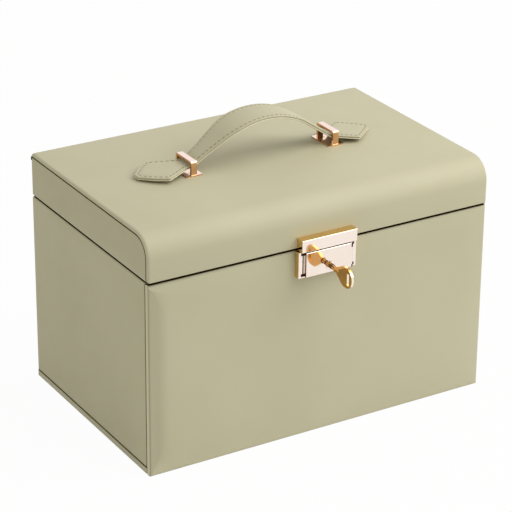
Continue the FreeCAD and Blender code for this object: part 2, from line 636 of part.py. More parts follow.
def make_lock(strike_screws, lock_screws):
    """Make both halves of the lock and return the cutters for the drop front."""
    slot = ring("hook_slot", "hook_inner - hook_play", "hook_outer + hook_play",
                "hook_rear + hook_play", "hook_thickness + 2 * hook_play")
    strike = plate("strike_blank", "strike_width / 2", "strike_low", "strike_top", "front", "strike_depth")
    keep(cut("strike_block", strike, [slot, strike_screws]), "strike_block")
    keep(strike_screws, "strike_screws")
    case = plate("lock_case_blank", "lock_width / 2", "lock_low", "lock_top", "front", "lock_depth")
    room = box("lock_room_tool", ("-lock_room / 2", "lock_face - 1", "lock_low + lock_wall"),
               ("lock_room / 2", "hook_rear + hook_play", "lock_top - lock_wall"))
    plug_way = rod("plug_way", ("0", "door_back + 1", "plug_z"), "plug_radius + 1", "front_thickness + lock_depth",
                   TO_FRONT)
    notches = []
    for sign in ("-1", "1"):
        for spot, width, start, end in (
                ("notch_top", "notch_width", "lock_top - notch_height", "lock_top + 1"),
                ("notch_low", "notch_width", "lock_low + plate_margin", "lock_low + plate_margin + notch_low_height"),
                ("groove", "groove_width", "lock_low + plate_margin", "lock_top + 1")):
            middle = f"{sign} * (plate_width + {width}) / 2"
            notches.append(box(f"{spot}_{sign[0]}", (f"{middle} - {width} / 2", "lock_face - 1", start),
                               (f"{middle} + {width} / 2", "lock_face + groove_depth", end)))
    keep(cut("lock_case", case, [room, slot, plug_way, lock_screws, *notches]), "lock_case")
    cover = plate("lock_cover_blank", "plate_width / 2", "lock_low + plate_margin", "lock_top - seam",
                  "lock_face", "strike_depth - lock_depth")
    hole = rod("plug_hole", ("0", "lock_face + 1", "plug_z"), "plug_radius + plug_play", "lock_depth + 2", TO_FRONT)
    keep(cut("lock_cover", cover, [hole]), "lock_cover")
    keep(lock_screws, "lock_screws")
    plug = rod("plug_blank", ("0", "plug_back", "plug_z"), "plug_radius", "plug_length", TO_FRONT)
    bore = rod("plug_bore", ("0", "plug_back - plug_wall", "plug_z"), "key_radius + key_play", "plug_length",
               TO_FRONT)
    way = box("bit_way", ("-key_bit / 2 - key_play", "strike_face - 1", "plug_z"),
              ("key_bit / 2 + key_play", "plug_back - plug_wall", "plug_z + key_bit_reach + key_play * 2"))
    keep(cut("lock_cylinder", plug, [bore, way]), "lock_cylinder")
    hub = ring("hook_hub_ring", "plug_radius", "hook_hub", "hook_rear", "hook_thickness")
    band = sector("hook_band", "hook_inner", "hook_outer", "hook_start", "hook_span")
    arm = sector("hook_arm_blade", "plug_radius + 1", "hook_inner + hook_overlap", "hook_start", "hook_arm")
    keep(joined("lock_hook", [hub, band, arm]), "lock_hook")
    return plug_way


def sector(name, inner, outer, start, span):
    """Make part of a ring in the plane of the hook."""
    outside = doc.addObject("Part::Cylinder", f"{name}_outside")
    outside.setExpression("Radius", formula(outer))
    outside.setExpression("Height", formula("hook_thickness"))
    outside.setExpression("Angle", formula(span))
    outside.setExpression("Placement.Rotation.Angle", formula(start))
    inside = rod(f"{name}_inside", ("0", "0", "-1"), inner, "hook_thickness + 2")
    piece = cut(name, outside, [inside])
    piece.Placement = FreeCAD.Placement(FreeCAD.Vector(), FreeCAD.Rotation(*TO_FRONT))
    return moved(piece, "0", "hook_rear", "plug_z")


def make_key():
    """Make the key: a blade inside the lock, and a collar, a shank and a slotted bow outside it."""
    blade_tip = "strike_face + key_tip"
    blade = turned("key_blade_turned", ((blade_tip, "0"), (blade_tip, "key_radius"),
                                        ("key_face", "key_radius"), ("key_face", "0")))
    moved(blade, z="plug_z")
    bit = box("key_bit_tooth", ("-key_bit / 2", "strike_face + key_bit_start", "plug_z + key_bit_root"),
              ("key_bit / 2", "strike_face + key_bit_end", "plug_z + key_bit_reach"))
    keep(joined("key_blade", [blade, bit]), "key_blade")
    bow_near = "strike_face - key_shank"
    shank = turned("key_shank_turned", (
        ("key_face", "0"), ("key_face", "key_collar"), ("key_face - key_ring", "key_collar"),
        ("key_face - key_ring", "key_radius"), (f"{bow_near} + key_shoulder", "key_radius"),
        (f"{bow_near} + key_shoulder", "key_shoulder_radius"), (bow_near, "key_shoulder_radius"),
        (f"{bow_near} - key_root", "key_root_radius"), (f"{bow_near} - key_root", "0")))
    moved(shank, z="plug_z")
    bow_far = f"{bow_near} - bow_length"
    bow_wide = f"{bow_near} - bow_taper"
    bow = prism("key_bow_blank", "YZ_Plane", (
        (bow_near, "plug_z + bow_neck / 2"), (bow_wide, "plug_z - bow_drop + bow_height / 2"),
        (bow_far, "plug_z - bow_drop + bow_height / 2"), (bow_far, "plug_z - bow_drop - bow_height / 2"),
        (bow_wide, "plug_z - bow_drop - bow_height / 2"), (bow_near, "plug_z - bow_neck / 2")),
        "bow_thickness", both_ways=True)
    near = at("strike_face") - size("key_shank")
    far = near - size("bow_length")
    wide = near - size("bow_taper")
    high = at("plug_z") - size("bow_drop") + size("bow_height") / 2
    low = high - size("bow_height")
    soften(bow, [(0, far, high), (0, far, low)], "bow_round")
    soften(bow, [(0, wide, high), (0, wide, low)], "bow_shoulder_round")
    slot_low = "plug_z - bow_slot_drop - bow_slot_length / 2"
    slot = box("key_bow_slot", ("-bow_thickness", f"{bow_near} - bow_slot_place", slot_low),
               ("bow_thickness", f"{bow_near} - bow_slot_place + bow_slot", f"{slot_low} + bow_slot_length"))
    keep(joined("key_bow", [shank, cut("key_bow_slotted", bow, [slot])]), "key_bow")


def make_front(plug_way, lock_screws):
    """Make the drop front behind its lock."""
    outline = (("-right", "fold_height"), ("right", "fold_height"), ("right", "body_top"), ("-right", "body_top"))
    cover = prism("door_cover_blank", "XZ_Plane", outline, "front_cover", "-(front + front_cover)")
    middle_z = at("body_top") / 2
    face = at("front")
    soften(cover, [(0, face, size("fold_height")), (0, face, at("body_top")),
                   (-at("right"), face, middle_z), (at("right"), face, middle_z)], "front_round")
    keep(cut("door_cover", cover, [plug_way, lock_screws]), "door_cover")
    magnets = group("door_magnets", [
        rod(f"door_magnet_{side}", (f"{sign} * magnet_place", "door_back - magnet_thickness", "magnet_z"),
            "magnet_radius", "magnet_thickness", TO_BACK) for side, sign in (("left", "-1"), ("right", "1"))])
    board = box("door_board_blank", ("-right + seam", "front + front_cover", "skin + seam"),
                ("right - seam", "door_back", "body_top - seam"))
    keep(cut("door_board", board, [plug_way, lock_screws, magnets]), "door_board")
    keep(magnets, "door_magnets")
    keep(box("door_lining", ("-wall_in + seam * 3", "door_back", "lining_low"),
             ("wall_in - seam * 3", "lining_back", "body_top - lining_top")), "door_lining")


def tray(name, low, high, wall, bottom):
    """Make an open box between two corners."""
    outside = box(f"{name}_outside", low, high)
    inside = box(f"{name}_inside", (f"{low[0]} + {wall}", f"{low[1]} + {wall}", f"{low[2]} + {bottom}"),
                 (f"{high[0]} - {wall}", f"{high[1]} - {wall}", f"{high[2]} + 1"))
    return keep(cut(name, outside, [inside]), name)


def rolls(name, start_x, end_x, start_y, end_y, floor, count):
    """Make a bank of ring rolls that lie side by side along X."""
    pitch = f"(({end_y}) - ({start_y})) / {count}"
    radius = f"{pitch} / 2 - roll_play / 2"
    pieces = [rod(f"{name}_{number}",
                  (start_x, f"({start_y}) + ({number} + 0.5) * {pitch}", f"{floor} + {radius}"),
                  radius, f"({end_x}) - ({start_x})", TO_RIGHT) for number in range(count)]
    return keep(group(name, pieces), name)


def make_drawer(number, bay_low, bay_high):
    """Make one drawer with its front, knob and inside."""
    low = f"{bay_low} + drawer_foot"
    high = f"{bay_high} - drawer_head"
    side = "wall_in - drawer_play"
    inner_front = "drawer_face + drawer_front"
    knob_z = f"({low} + {high}) / 2"
    knob = turned(f"drawer_{number}_knob", (
        ("drawer_face + drawer_front", "0"), ("drawer_face + drawer_front", "knob_stud"),
        ("drawer_face", "knob_stud"), ("drawer_face", "knob_foot_radius"),
        ("drawer_face - knob_foot", "knob_foot_radius"),
        ("drawer_face - knob_foot - knob_flare", "knob_neck"), ("drawer_face - knob_length / 2", "knob_neck"),
        ("drawer_face - knob_cap - knob_flare", "knob_radius"),
        ("drawer_face - knob_length + knob_flare", "knob_radius"), ("drawer_face - knob_length", "knob_crown"),
        ("drawer_face - knob_length", "0")))
    moved(knob, z=knob_z)
    front = box(f"drawer_{number}_front_blank", (f"-({side})", "drawer_face", low), (side, inner_front, high))
    keep(cut(f"drawer_{number}_front", front, [knob]), f"drawer_{number}_front")
    keep(knob, f"drawer_{number}_knob")
    tray(f"drawer_{number}_box", (f"-({side})", inner_front, low), (side, "drawer_back", f"{high} - drawer_lip"),
         "drawer_wall", "drawer_wall")
    inside = f"{side} - drawer_wall"
    near = f"{inner_front} + drawer_wall"
    far = "drawer_back - drawer_wall"
    floor = f"({low} + drawer_wall)"
    if number == 3:
        rolls("drawer_3_rolls", f"-({inside}) + roll_play", f"{inside} - roll_play",
              f"{near} + roll_play", f"{far} - roll_play", floor, 9)
        return
    top = f"{high} - drawer_lip - divider_drop"
    walls = []
    cuts = ("-wall_in / 3", "wall_in / 3") if number == 2 else ("0",)
    if number == 2:
        walls.append(box("drawer_2_divider_long", (f"-({inside})", "-divider / 2", floor),
                         (inside, "divider / 2", top)))
    for index, spot in enumerate(cuts, start=1):
        spans = ((near, "-divider / 2"), ("divider / 2", far)) if number == 2 else ((near, far),)
        for part, (start, end) in enumerate(spans, start=1):
            walls.append(box(f"drawer_{number}_divider_{index}_{part}", (f"{spot} - divider / 2", start, floor),
                             (f"{spot} + divider / 2", end, top)))
    keep(group(f"drawer_{number}_dividers", walls), f"drawer_{number}_dividers")


def make_tray():
    """Make the ring tray that slides under the lid."""
    tray("tray_box", ("-tray_side", "tray_front", "tray_low"), ("tray_side", "tray_back", "tray_top"),
         "drawer_wall", "drawer_wall")
    edge = "drawer_wall + roll_play"
    rolls("tray_rolls", f"-tray_side + {edge}", "tray_side / 3", f"tray_front + {edge}", f"tray_back - ({edge})",
          "(tray_low + drawer_wall)", 6)
    keep(box("tray_divider", ("tray_side / 3 + roll_play", "tray_front + drawer_wall", "tray_low + drawer_wall"),
             ("tray_side / 3 + roll_play + divider", "tray_back - drawer_wall", "tray_top - divider_drop")), "tray_divider")


def strap_side(rise):
    """Lay out the outer face of one half of the strap, from the crown to the tip, which lies a rise higher.

    Each stretch is a start angle and end angle of slope, a centre and a signed radius, or a straight run.
    """
    slope = math.radians(size("strap_flank"))
    toe = math.radians(size("strap_toe"))
    crown = size("strap_crown_radius")
    top = size("case_height") + size("strap_crown")
    ankle = size("strap_ankle_radius")
    tip_x = size("strap_reach")
    tip_z = size("case_height") + size("strap_layer") + size("strap_backing") + size("seam") + rise
    tip_z += size("strap_backing") * math.sin(toe)
    crown_end = (crown * math.sin(slope), top - crown + crown * math.cos(slope))
    # The ankle's centre is an ankle radius above both the flank line and the toe line
    flank_dir = (math.cos(slope), -math.sin(slope))
    toe_dir = (math.cos(toe), -math.sin(toe))
    flank_start = (crown_end[0] + ankle * math.sin(slope), crown_end[1] + ankle * math.cos(slope))
    toe_start = (tip_x + ankle * math.sin(toe), tip_z + ankle * math.cos(toe))
    turn = flank_dir[0] * toe_dir[1] - flank_dir[1] * toe_dir[0]
    gap = (toe_start[0] - flank_start[0], toe_start[1] - flank_start[1])
    run = (gap[0] * toe_dir[1] - gap[1] * toe_dir[0]) / turn
    centre = (flank_start[0] + run * flank_dir[0], flank_start[1] + run * flank_dir[1])
    return {"slope": slope, "toe": toe, "crown": crown, "crown_z": top - crown,
            "ankle": ankle, "centre": centre, "tip": (tip_x, tip_z)}


def strap_face(depth):
    """Give the edges of the strap's outer face, moved inwards by a depth, from tip to tip."""
    def spot(x, z):
        return FreeCAD.Vector(x, 0, z)

    def on_arc(centre, radius, angle):
        return spot(centre[0] + radius * math.sin(angle), centre[1] + radius * math.cos(angle))

    def half(rise, way):
        """Give the crown's end, the ankle's end, middle and start of the toe, and the tip, towards one side."""
        side = strap_side(rise)
        ankle = side["ankle"] + depth
        spots = [on_arc((0, side["crown_z"]), side["crown"] - depth, side["slope"])]
        for angle in (side["slope"], (side["slope"] + side["toe"]) / 2, side["toe"]):
            spots.append(on_arc(side["centre"], -ankle, angle))
        spots.append(spot(side["tip"][0] - depth * math.sin(side["toe"]),
                          side["tip"][1] - depth * math.cos(side["toe"])))
        return [spot(way * point.x, point.z) for point in spots]

    crown_top = spot(0, size("case_height") + size("strap_crown") - depth)
    left = half(size("strap_left_rise"), -1)
    right = half(0, 1)
    return [
        Part.LineSegment(left[4], left[3]), Part.Arc(left[3], left[2], left[1]), Part.LineSegment(left[1], left[0]),
        Part.Arc(left[0], crown_top, right[0]),
        Part.LineSegment(right[0], right[1]), Part.Arc(right[1], right[2], right[3]),
        Part.LineSegment(right[3], right[4])]


def strap_plan(inset):
    """Make the strap's outline from above as a tall prism."""
    half = size("strap_width") / 2 - inset
    middle = size("strap_middle") / 2 - inset
    wide = size("tab_width") / 2 - inset
    nose = size("tab_nose") / 2 - inset * 0.5
    reach = size("strap_reach") - inset
    neck = size("tab_neck")

    def end(way, shoulder, drift):
        """Give the corners of one end, from its back edge round the tip to its front edge."""
        half_outline = [(size("strap_swell"), middle), (size("strap_waist"), half), (neck, half), (shoulder, wide),
                        (reach, nose)]
        around = half_outline + [(x, -y) for x, y in reversed(half_outline)]
        return [(way * x, y + size("handle_set") + max(0, x - neck) * drift) for x, y in around]

    right = end(1, size("tab_shoulder_right"), size("tab_drift_right"))
    left = end(-1, size("tab_shoulder"), size("tab_drift"))
    corners = right + left[::-1]
    low = size("case_height")
    points = [FreeCAD.Vector(x, y, low) for x, y in corners]
    face = Part.Face(Part.makePolygon(points + points[:1]))
    return face.extrude(FreeCAD.Vector(0, 0, size("strap_crown") + 1))


def make_handle():
    """Make the two layers of the strap, cut to one outline."""
    width = size("tab_width") + 2 * size("strap_reach") * size("tab_drift_right")
    for name, top, bottom, inset in (("handle_strap", 0, size("strap_layer"), 0),
                                     ("handle_backing", size("strap_layer"),
                                      size("strap_layer") + size("strap_backing"), size("strap_step"))):
        upper = [curve.toShape() for curve in strap_face(top)]
        lower = [curve.toShape() for curve in strap_face(bottom)]
        ends = [Part.makeLine(upper[0].Vertexes[0].Point, lower[0].Vertexes[0].Point),
                Part.makeLine(upper[-1].Vertexes[-1].Point, lower[-1].Vertexes[-1].Point)]
        outline = Part.Wire(Part.__sortEdges__(upper + lower + ends))
        ribbon = Part.Face(outline).extrude(FreeCAD.Vector(0, width, 0))
        ribbon.translate(FreeCAD.Vector(0, -width / 2, 0))
        layer = doc.addObject("Part::Feature", name)
        layer.Shape = ribbon.common(strap_plan(inset)).Solids[0]
        keep(layer, name)


lower_leaf_screws, upper_leaf_screws = make_hinges()
strike_fixings = screws("strike_screws", [(f"{sign} * strike_screw_place", "lid_in_front",
                                           "strike_top - strike_screw_drop")
                                          for sign in ("-1", "1")], TO_FRONT, "lid_board + strike_depth / 2")
loop_fixings = screws("loop_screws", [(f"{sign} * loop_place", f"handle_set + {end} * loop_screw_place",
                                       "case_height + loop_base") for sign in ("-1", "1") for end in ("-1", "1")],
                      (FreeCAD.Vector(1, 0, 0), 180), "loop_base + lid_board - 2 * seam")
lock_fixings = screws("lock_screws", [(f"{sign} * (lock_width / 2 - screw_head)", "door_back", spot)
                                      for sign in ("-1", "1")
                                      for spot in ("plug_z - lock_screw_low", "plug_z + lock_screw_high")],
                      TO_FRONT, "front_thickness + lock_depth / 2")
make_carcass(lower_leaf_screws)
make_lid(upper_leaf_screws, strike_fixings, loop_fixings)
front_hole = make_lock(strike_fixings, lock_fixings)
make_key()
make_front(front_hole, lock_fixings)
make_drawer(1, "floor_top", "shelf_1_low")
make_drawer(2, "shelf_1_top", "shelf_2_low")
make_drawer(3, "shelf_2_top", "cell_floor_low")
make_tray()
make_handle()
doc.recompute()

for item in doc.Objects:
    if "Invalid" in item.State or "Error" in item.State:
        raise RuntimeError(f"{item.Label} failed: {item.State}")
for node in NODES:
    if node.Shape.isNull() or not node.Shape.isValid() or not node.Shape.Solids:
        raise RuntimeError(f"{node.Label} has no valid solid")

os.makedirs("parts", exist_ok=True)
for node in NODES:
    node.Shape.exportStep(f"parts/{node.Label}.step")
print(f"{len(NODES)} sub-parts written")
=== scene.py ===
"""Looks of the jewellery case: leatherette, velvet, polished fittings, camera and light.

Sizes are in millimetres, in the same frame as the solids; build() turns them into metres.
"""

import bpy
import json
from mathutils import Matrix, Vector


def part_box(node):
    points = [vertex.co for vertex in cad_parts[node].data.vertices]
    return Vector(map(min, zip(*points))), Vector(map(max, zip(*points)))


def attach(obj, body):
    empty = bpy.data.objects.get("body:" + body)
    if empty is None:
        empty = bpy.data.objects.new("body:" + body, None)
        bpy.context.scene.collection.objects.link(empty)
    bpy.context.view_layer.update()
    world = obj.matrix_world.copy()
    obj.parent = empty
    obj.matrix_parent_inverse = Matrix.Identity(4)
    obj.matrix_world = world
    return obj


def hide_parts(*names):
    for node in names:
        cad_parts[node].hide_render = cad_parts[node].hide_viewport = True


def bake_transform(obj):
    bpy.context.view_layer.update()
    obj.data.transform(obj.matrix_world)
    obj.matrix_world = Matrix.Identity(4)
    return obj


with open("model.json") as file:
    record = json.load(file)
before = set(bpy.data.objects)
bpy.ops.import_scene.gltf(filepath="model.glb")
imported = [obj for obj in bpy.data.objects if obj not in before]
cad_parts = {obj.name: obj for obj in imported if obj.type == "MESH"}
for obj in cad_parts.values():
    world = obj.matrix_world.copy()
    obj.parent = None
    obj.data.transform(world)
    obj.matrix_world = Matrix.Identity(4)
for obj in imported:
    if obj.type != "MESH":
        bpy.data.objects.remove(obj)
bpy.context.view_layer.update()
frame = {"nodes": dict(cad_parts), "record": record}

import json
import math

import bmesh
import bpy
from mathutils import Matrix, Vector

MM = 0.001
nodes = frame["nodes"]
record = frame["record"]


# Materials

def display(red, green, blue):
    """Turn a colour as a screen shows it, 0 to 255, into the colour a shader takes."""
    def one(value):
        value /= 255
        return value / 12.92 if value <= 0.04045 else ((value + 0.055) / 1.055) ** 2.4
    return (one(red), one(green), one(blue), 1)


class Look:
    """A procedural material on one Principled shader."""

    def __init__(self, name, colour, roughness, **numbers):
        self.material = bpy.data.materials.new(name)
        self.material.use_nodes = True
        self.nodes = self.material.node_tree.nodes
        self.links = self.material.node_tree.links
        self.shader = self.nodes["Principled BSDF"]
        self.place = self.nodes.new("ShaderNodeTexCoord").outputs["Object"]
        self.normal = None
        self.put("Base Color", colour)
        self.put("Roughness", roughness)
        for socket, value in numbers.items():
            self.put(socket.replace("_", " "), value)

    def put(self, socket, value):
        """Set a plain value on the shader."""
        self.shader.inputs[socket].default_value = value

    def spread(self, scale):
        """Give the object's coordinates, stretched."""
        mapping = self.nodes.new("ShaderNodeMapping")
        mapping.inputs["Scale"].default_value = scale
        self.links.new(self.place, mapping.inputs["Vector"])
        return mapping.outputs["Vector"]

    def noise(self, scale, detail=2, roughness=0.5, along=None):
        """Give noise whose patches are about one over scale metres across."""
        noise = self.nodes.new("ShaderNodeTexNoise")
        noise.inputs["Scale"].default_value = scale
        noise.inputs["Detail"].default_value = detail
        noise.inputs["Roughness"].default_value = roughness
        self.links.new(self.spread(along) if along else self.place, noise.inputs["Vector"])
        return noise.outputs["Fac"]

    def cells(self, scale):
        """Give pebbled cells."""
        cells = self.nodes.new("ShaderNodeTexVoronoi")
        cells.feature = "SMOOTH_F1"
        cells.inputs["Scale"].default_value = scale
        self.links.new(self.place, cells.inputs["Vector"])
        return cells.outputs["Distance"]

    def ranged(self, source, low, high, start=0.3, end=0.7):
        """Map a texture from start..end to low..high."""
        reach = self.nodes.new("ShaderNodeMapRange")
        for number, value in enumerate((start, end, low, high), start=1):
            reach.inputs[number].default_value = value
        self.links.new(source, reach.inputs[0])
        return reach.outputs[0]

    def mixed(self, factor, first, second):
        """Mix two colours, or a colour into a mix."""
        mix = self.nodes.new("ShaderNodeMix")
        mix.data_type = "RGBA"
        self.links.new(factor, mix.inputs[0])
        for socket, value in ((mix.inputs[6], first), (mix.inputs[7], second)):
            if hasattr(value, "is_linked"):
                self.links.new(value, socket)
            else:
                socket.default_value = value
        return mix.outputs[2]

    def facing(self, side, start=0.55, end=0.85):
        """Give 1 where the surface faces a direction of the object and 0 where it turns away."""
        place = self.place.node
        dot = self.nodes.new("ShaderNodeVectorMath")
        dot.operation = "DOT_PRODUCT"
        dot.inputs[1].default_value = side
        self.links.new(place.outputs["Normal"], dot.inputs[0])
        return self.ranged(dot.outputs["Value"], 0, 1, start, end)

    def colour(self, source):
        """Feed the base colour from a node."""
        self.links.new(source, self.shader.inputs["Base Color"])

    def rough(self, source):
        """Feed the roughness from a node."""
        self.links.new(source, self.shader.inputs["Roughness"])

    def bump(self, height, distance, strength=1.0):
        """Add relief, distance in millimetres."""
        bump = self.nodes.new("ShaderNodeBump")
        bump.inputs["Strength"].default_value = strength
        bump.inputs["Distance"].default_value = distance * MM
        self.links.new(height, bump.inputs["Height"])
        if self.normal:
            self.links.new(self.normal, bump.inputs["Normal"])
        self.normal = bump.outputs["Normal"]
        self.links.new(self.normal, self.shader.inputs["Normal"])


LEFT, FORWARD, UPWARD = (-1, 0, 0), (0, -1, 0), (0, 0, 1)
# How far a surface faces left where the painted shade of the padding's turn, and the painted highlight on the
# rim, start and are full
PAINTED_SHADE_TURN, PAINTED_HIGHLIGHT_TURN = (0.005, 0.12), (0.4, 0.85)


def leatherette(name, pale, deep, roughness=0.52, turned=None, rim=None):
    """Smooth coated leather: slow waves of the foam under it, faint mottle and fine grain. Where the padding
    turns to the left it may take a darker tone, painted shade, and a paler one on the rim beyond it, painted
    highlight.
    """
    look = Look(name, pale, roughness, Specular_IOR_Level=0.36)
    patches = look.ranged(look.noise(9, 4), 0, 1)
    specks = look.ranged(look.noise(800, 2), 0, 0.25)
    tone = look.mixed(patches, deep, pale)
    tone = look.mixed(specks, tone, deep)
    # The turned colour is painted shade where the padding turns left; the rim colour is a painted highlight on
    # the rim beyond it
    if turned:
        for colour, (start, end) in ((turned, PAINTED_SHADE_TURN), (rim, PAINTED_HIGHLIGHT_TURN)):
            tone = look.mixed(look.facing(LEFT, start, end), tone, colour)
    look.colour(tone)
    look.rough(look.ranged(look.noise(60, 3), roughness - 0.03, roughness + 0.05))
    look.bump(look.noise(17, 2), 0.75, 0.45)
    look.bump(look.noise(210, 3, 0.6), 0.02, 0.5)
    look.bump(look.cells(1700), 0.022, 0.45)
    return look.material


def velvet(name, pale, deep):
    """Short pile with a nap that lies in soft patches."""
    look = Look(name, pale, 0.92, Sheen_Weight=0.55, Sheen_Roughness=0.35, Specular_IOR_Level=0.15)
    nap = look.ranged(look.noise(26, 3), 0, 1)
    tone = look.mixed(nap, deep, pale)
    look.colour(look.mixed(look.ranged(look.noise(1400, 2), 0, 0.5), tone, deep))
    look.bump(look.noise(2300, 2), 0.12, 0.6)
    look.bump(look.noise(40, 2), 0.3, 0.3)
    return look.material


def plated(name, colour, deep, smooth=0.1, pale=None, painted_reflection_side=None):
    """Polished plated metal with hairline polish marks; the sides that face one way may take a paler tint,
    painted reflection.
    """
    look = Look(name, colour, smooth, Metallic=1.0)
    tone = look.mixed(look.ranged(look.noise(120, 3), 0, 0.6), colour, deep)
    # The pale tint on the sides that face one way is painted reflection
    if pale:
        tone = look.mixed(look.facing(painted_reflection_side), tone, pale)
    look.colour(tone)
    look.rough(look.ranged(look.noise(300, 4, 0.6, (1, 1, 14)), smooth - 0.03, smooth + 0.05))
    look.bump(look.noise(420, 3, 0.5, (1, 1, 9)), 0.006, 0.4)
    return look.material


SAGE = display(193.5, 188.5, 160)
SAGE_DEEP = display(186.5, 181.5, 152)
SEAM = display(84, 75, 38)
looks = {
    "leather": leatherette("sage_leatherette", SAGE, SAGE_DEEP),
    # The front's two extra colours are painted shade on the padding's turn to the left and a painted highlight
    # on its rim
    "front": leatherette("front_leatherette_painted_light", SAGE, SAGE_DEEP, 0.52, display(153, 148, 120),
                         display(205, 200, 170)),
    # The side panels and the lid's end panels take darker, yellower copies of the sage leather: painted shade
    "side": leatherette("side_leatherette_painted_shade", display(192, 187, 155), display(185, 180, 147)),
    "lid_end": leatherette("lid_end_leatherette_painted_shade", display(187.5, 182, 150), display(181, 175.5, 142.5)),
    "strap": leatherette("strap_leatherette", display(191, 186, 158.5), display(183, 177.5, 147.5), 0.5),
    "velvet": velvet("cream_velvet", display(226, 215, 193), display(208, 195, 170)),
    "velvet_pad": velvet("cream_velvet_pad", display(231, 221, 200), display(214, 201, 177)),
    # Forward faces of the gold fittings take the pale tint: painted reflection
    "gold": plated("rose_gold_plate", display(237, 206, 146), display(228, 192, 128), 0.06,
                   display(247, 233, 222), FORWARD),
    # The lock's cover takes the pale tint all round: painted reflection
    "cover_gold": plated("rose_gold_cover", display(247, 233, 222), display(243, 226, 212), 0.06),
    # Upward faces of the handle's loops take the pale tint: painted reflection
    "loop_gold": plated("rose_gold_loops", display(228, 184, 140), display(202, 148, 104), 0.1,
                        display(250, 227, 220), UPWARD),
    # Forward faces of the key take the pale tint: painted highlight
    "key_gold": plated("warm_brass_plate", display(216, 168, 98), display(198, 148, 80), 0.12,
                       display(250, 236, 214), FORWARD),
    "steel": plated("nickelled_steel", display(205, 205, 206), display(188, 188, 190), 0.22),
}

glass = Look("silvered_glass", display(236, 240, 240), 0.015, Metallic=1.0)
glass.rough(glass.ranged(glass.noise(12, 2), 0.008, 0.03))
looks["mirror"] = glass.material

# The dark seam colour is partly the joint's own dark line and partly painted shade in the groove
seam_look = Look("seam_shadow_line", SEAM, 1.0, Specular_IOR_Level=0.0)
seam_look.colour(seam_look.mixed(seam_look.noise(500, 2), SEAM, display(72, 63, 30)))
# The far row's thread takes a paler copy of the thread colour: painted light
far_thread_painted_light_look = Look("far_thread_painted_light", display(150, 145, 113), 0.7, Sheen_Weight=0.2)
far_thread_painted_light_look.colour(far_thread_painted_light_look.mixed(far_thread_painted_light_look.noise(2600, 2), display(144, 138, 107),
                                             display(158, 153, 121)))
thread_look = Look("olive_thread", display(118, 111, 80), 0.7, Sheen_Weight=0.2)
thread_look.colour(thread_look.mixed(thread_look.noise(2600, 2), display(102, 95, 66), display(130, 123, 92)))
thread_look.bump(thread_look.noise(5200, 2), 0.05, 0.6)
edge_look = Look("pale_cut_edge", display(238, 231, 204), 0.62)
edge_look.colour(edge_look.mixed(edge_look.noise(900, 2), display(242, 236, 210), display(226, 218, 188)))

# Dark brown painted shade for recesses, notches, the plate's edges and the key's shank
shade_look = Look("painted_recess_shade", display(70, 38, 22), 0.55, Specular_IOR_Level=0.1)
shade_look.colour(shade_look.mixed(shade_look.noise(700, 2), display(78, 42, 24), display(52, 28, 16)))
# Near-black strips on the rims at the lid gap: painted shade
gap_shade_look = Look("painted_gap_shade", display(52, 38, 12), 1.0, Specular_IOR_Level=0.0)
gap_shade_look.colour(gap_shade_look.mixed(gap_shade_look.noise(900, 2), display(56, 41, 13), display(40, 29, 8)))

OWN_LOOK = {"handle_loop_left": "loop_gold", "handle_loop_right": "loop_gold", "lock_cover": "cover_gold"}
SLOT_OF = {row["node"]: row["material_slot"] for row in record["subparts"]}


# Mesh helpers

SHARP = 38  # degrees between faces from which an edge looks sharp
SAME_POINT = 1e-6  # metres


def build(name, body, look, points, faces, slot=None, stands_for=(), sharp=SHARP):
    """Make a piece from points in millimetres, let it ride on a body, and hide the solids it stands for."""
    mesh = bpy.data.meshes.new(name)
    mesh.from_pydata([Vector(point) * MM for point in points], [], faces)
    work = bmesh.new()
    work.from_mesh(mesh)
    bmesh.ops.remove_doubles(work, verts=work.verts, dist=SAME_POINT)
    bmesh.ops.recalc_face_normals(work, faces=work.faces)
    work.to_mesh(mesh)
    work.free()
    mesh.shade_smooth()
    mesh.set_sharp_from_angle(angle=math.radians(sharp))
    mesh.materials.append(look)
    piece = bpy.data.objects.new(name, mesh)
    bpy.context.scene.collection.objects.link(piece)
    if body:
        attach(piece, body)
    if stands_for:
        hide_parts(*stands_for)
    return piece


def outline(corners, inset=0.0, steps=6):
    """Give a polygon with rounded corners, moved inwards; corners are (u, v, radius), anticlockwise."""
    count = len(corners)
    sides = []
    for number in range(count):
        start = Vector(corners[number][:2])
        along = (Vector(corners[(number + 1) % count][:2]) - start).normalized()
        sides.append((start + Vector((-along.y, along.x)) * inset, along))
    points = []
    for number in range(count):
        first, along = sides[number - 1]
        second, ahead = sides[number]
        cross = along.x * ahead.y - along.y * ahead.x
        gap = second - first
        corner = first + along * ((gap.x * ahead.y - gap.y * ahead.x) / cross)
        bend = math.atan2(cross, along.dot(ahead))
        way = math.copysign(1, bend)
        radius = max(corners[number][2] - inset * way, 0.02)
        reach = radius * math.tan(abs(bend) / 2)
        spoke = Vector((-along.y, along.x)) * way * radius
        centre = corner - along * reach + spoke
        for step in range(steps + 1):
            angle = bend * step / steps
            arm = Vector((-spoke.x * math.cos(angle) + spoke.y * math.sin(angle),
                          -spoke.x * math.sin(angle) - spoke.y * math.cos(angle)))
            points.append(centre + arm)
    return points


def stack(rings, closed=True):
    """Join rings of equal length into faces; each ring is a list of 3-D points."""
    points = [point for ring in rings for point in ring]
    size = len(rings[0])
    faces = []
    for level in range(len(rings) - 1):
        for number in range(size if closed else size - 1):
            after = (number + 1) % size
            faces.append((level * size + number, level * size + after,
                          (level + 1) * size + after, (level + 1) * size + number))
    return points, faces


SWELL_STEPS = (0.1, 0.25, 0.45, 0.7, 1.0)


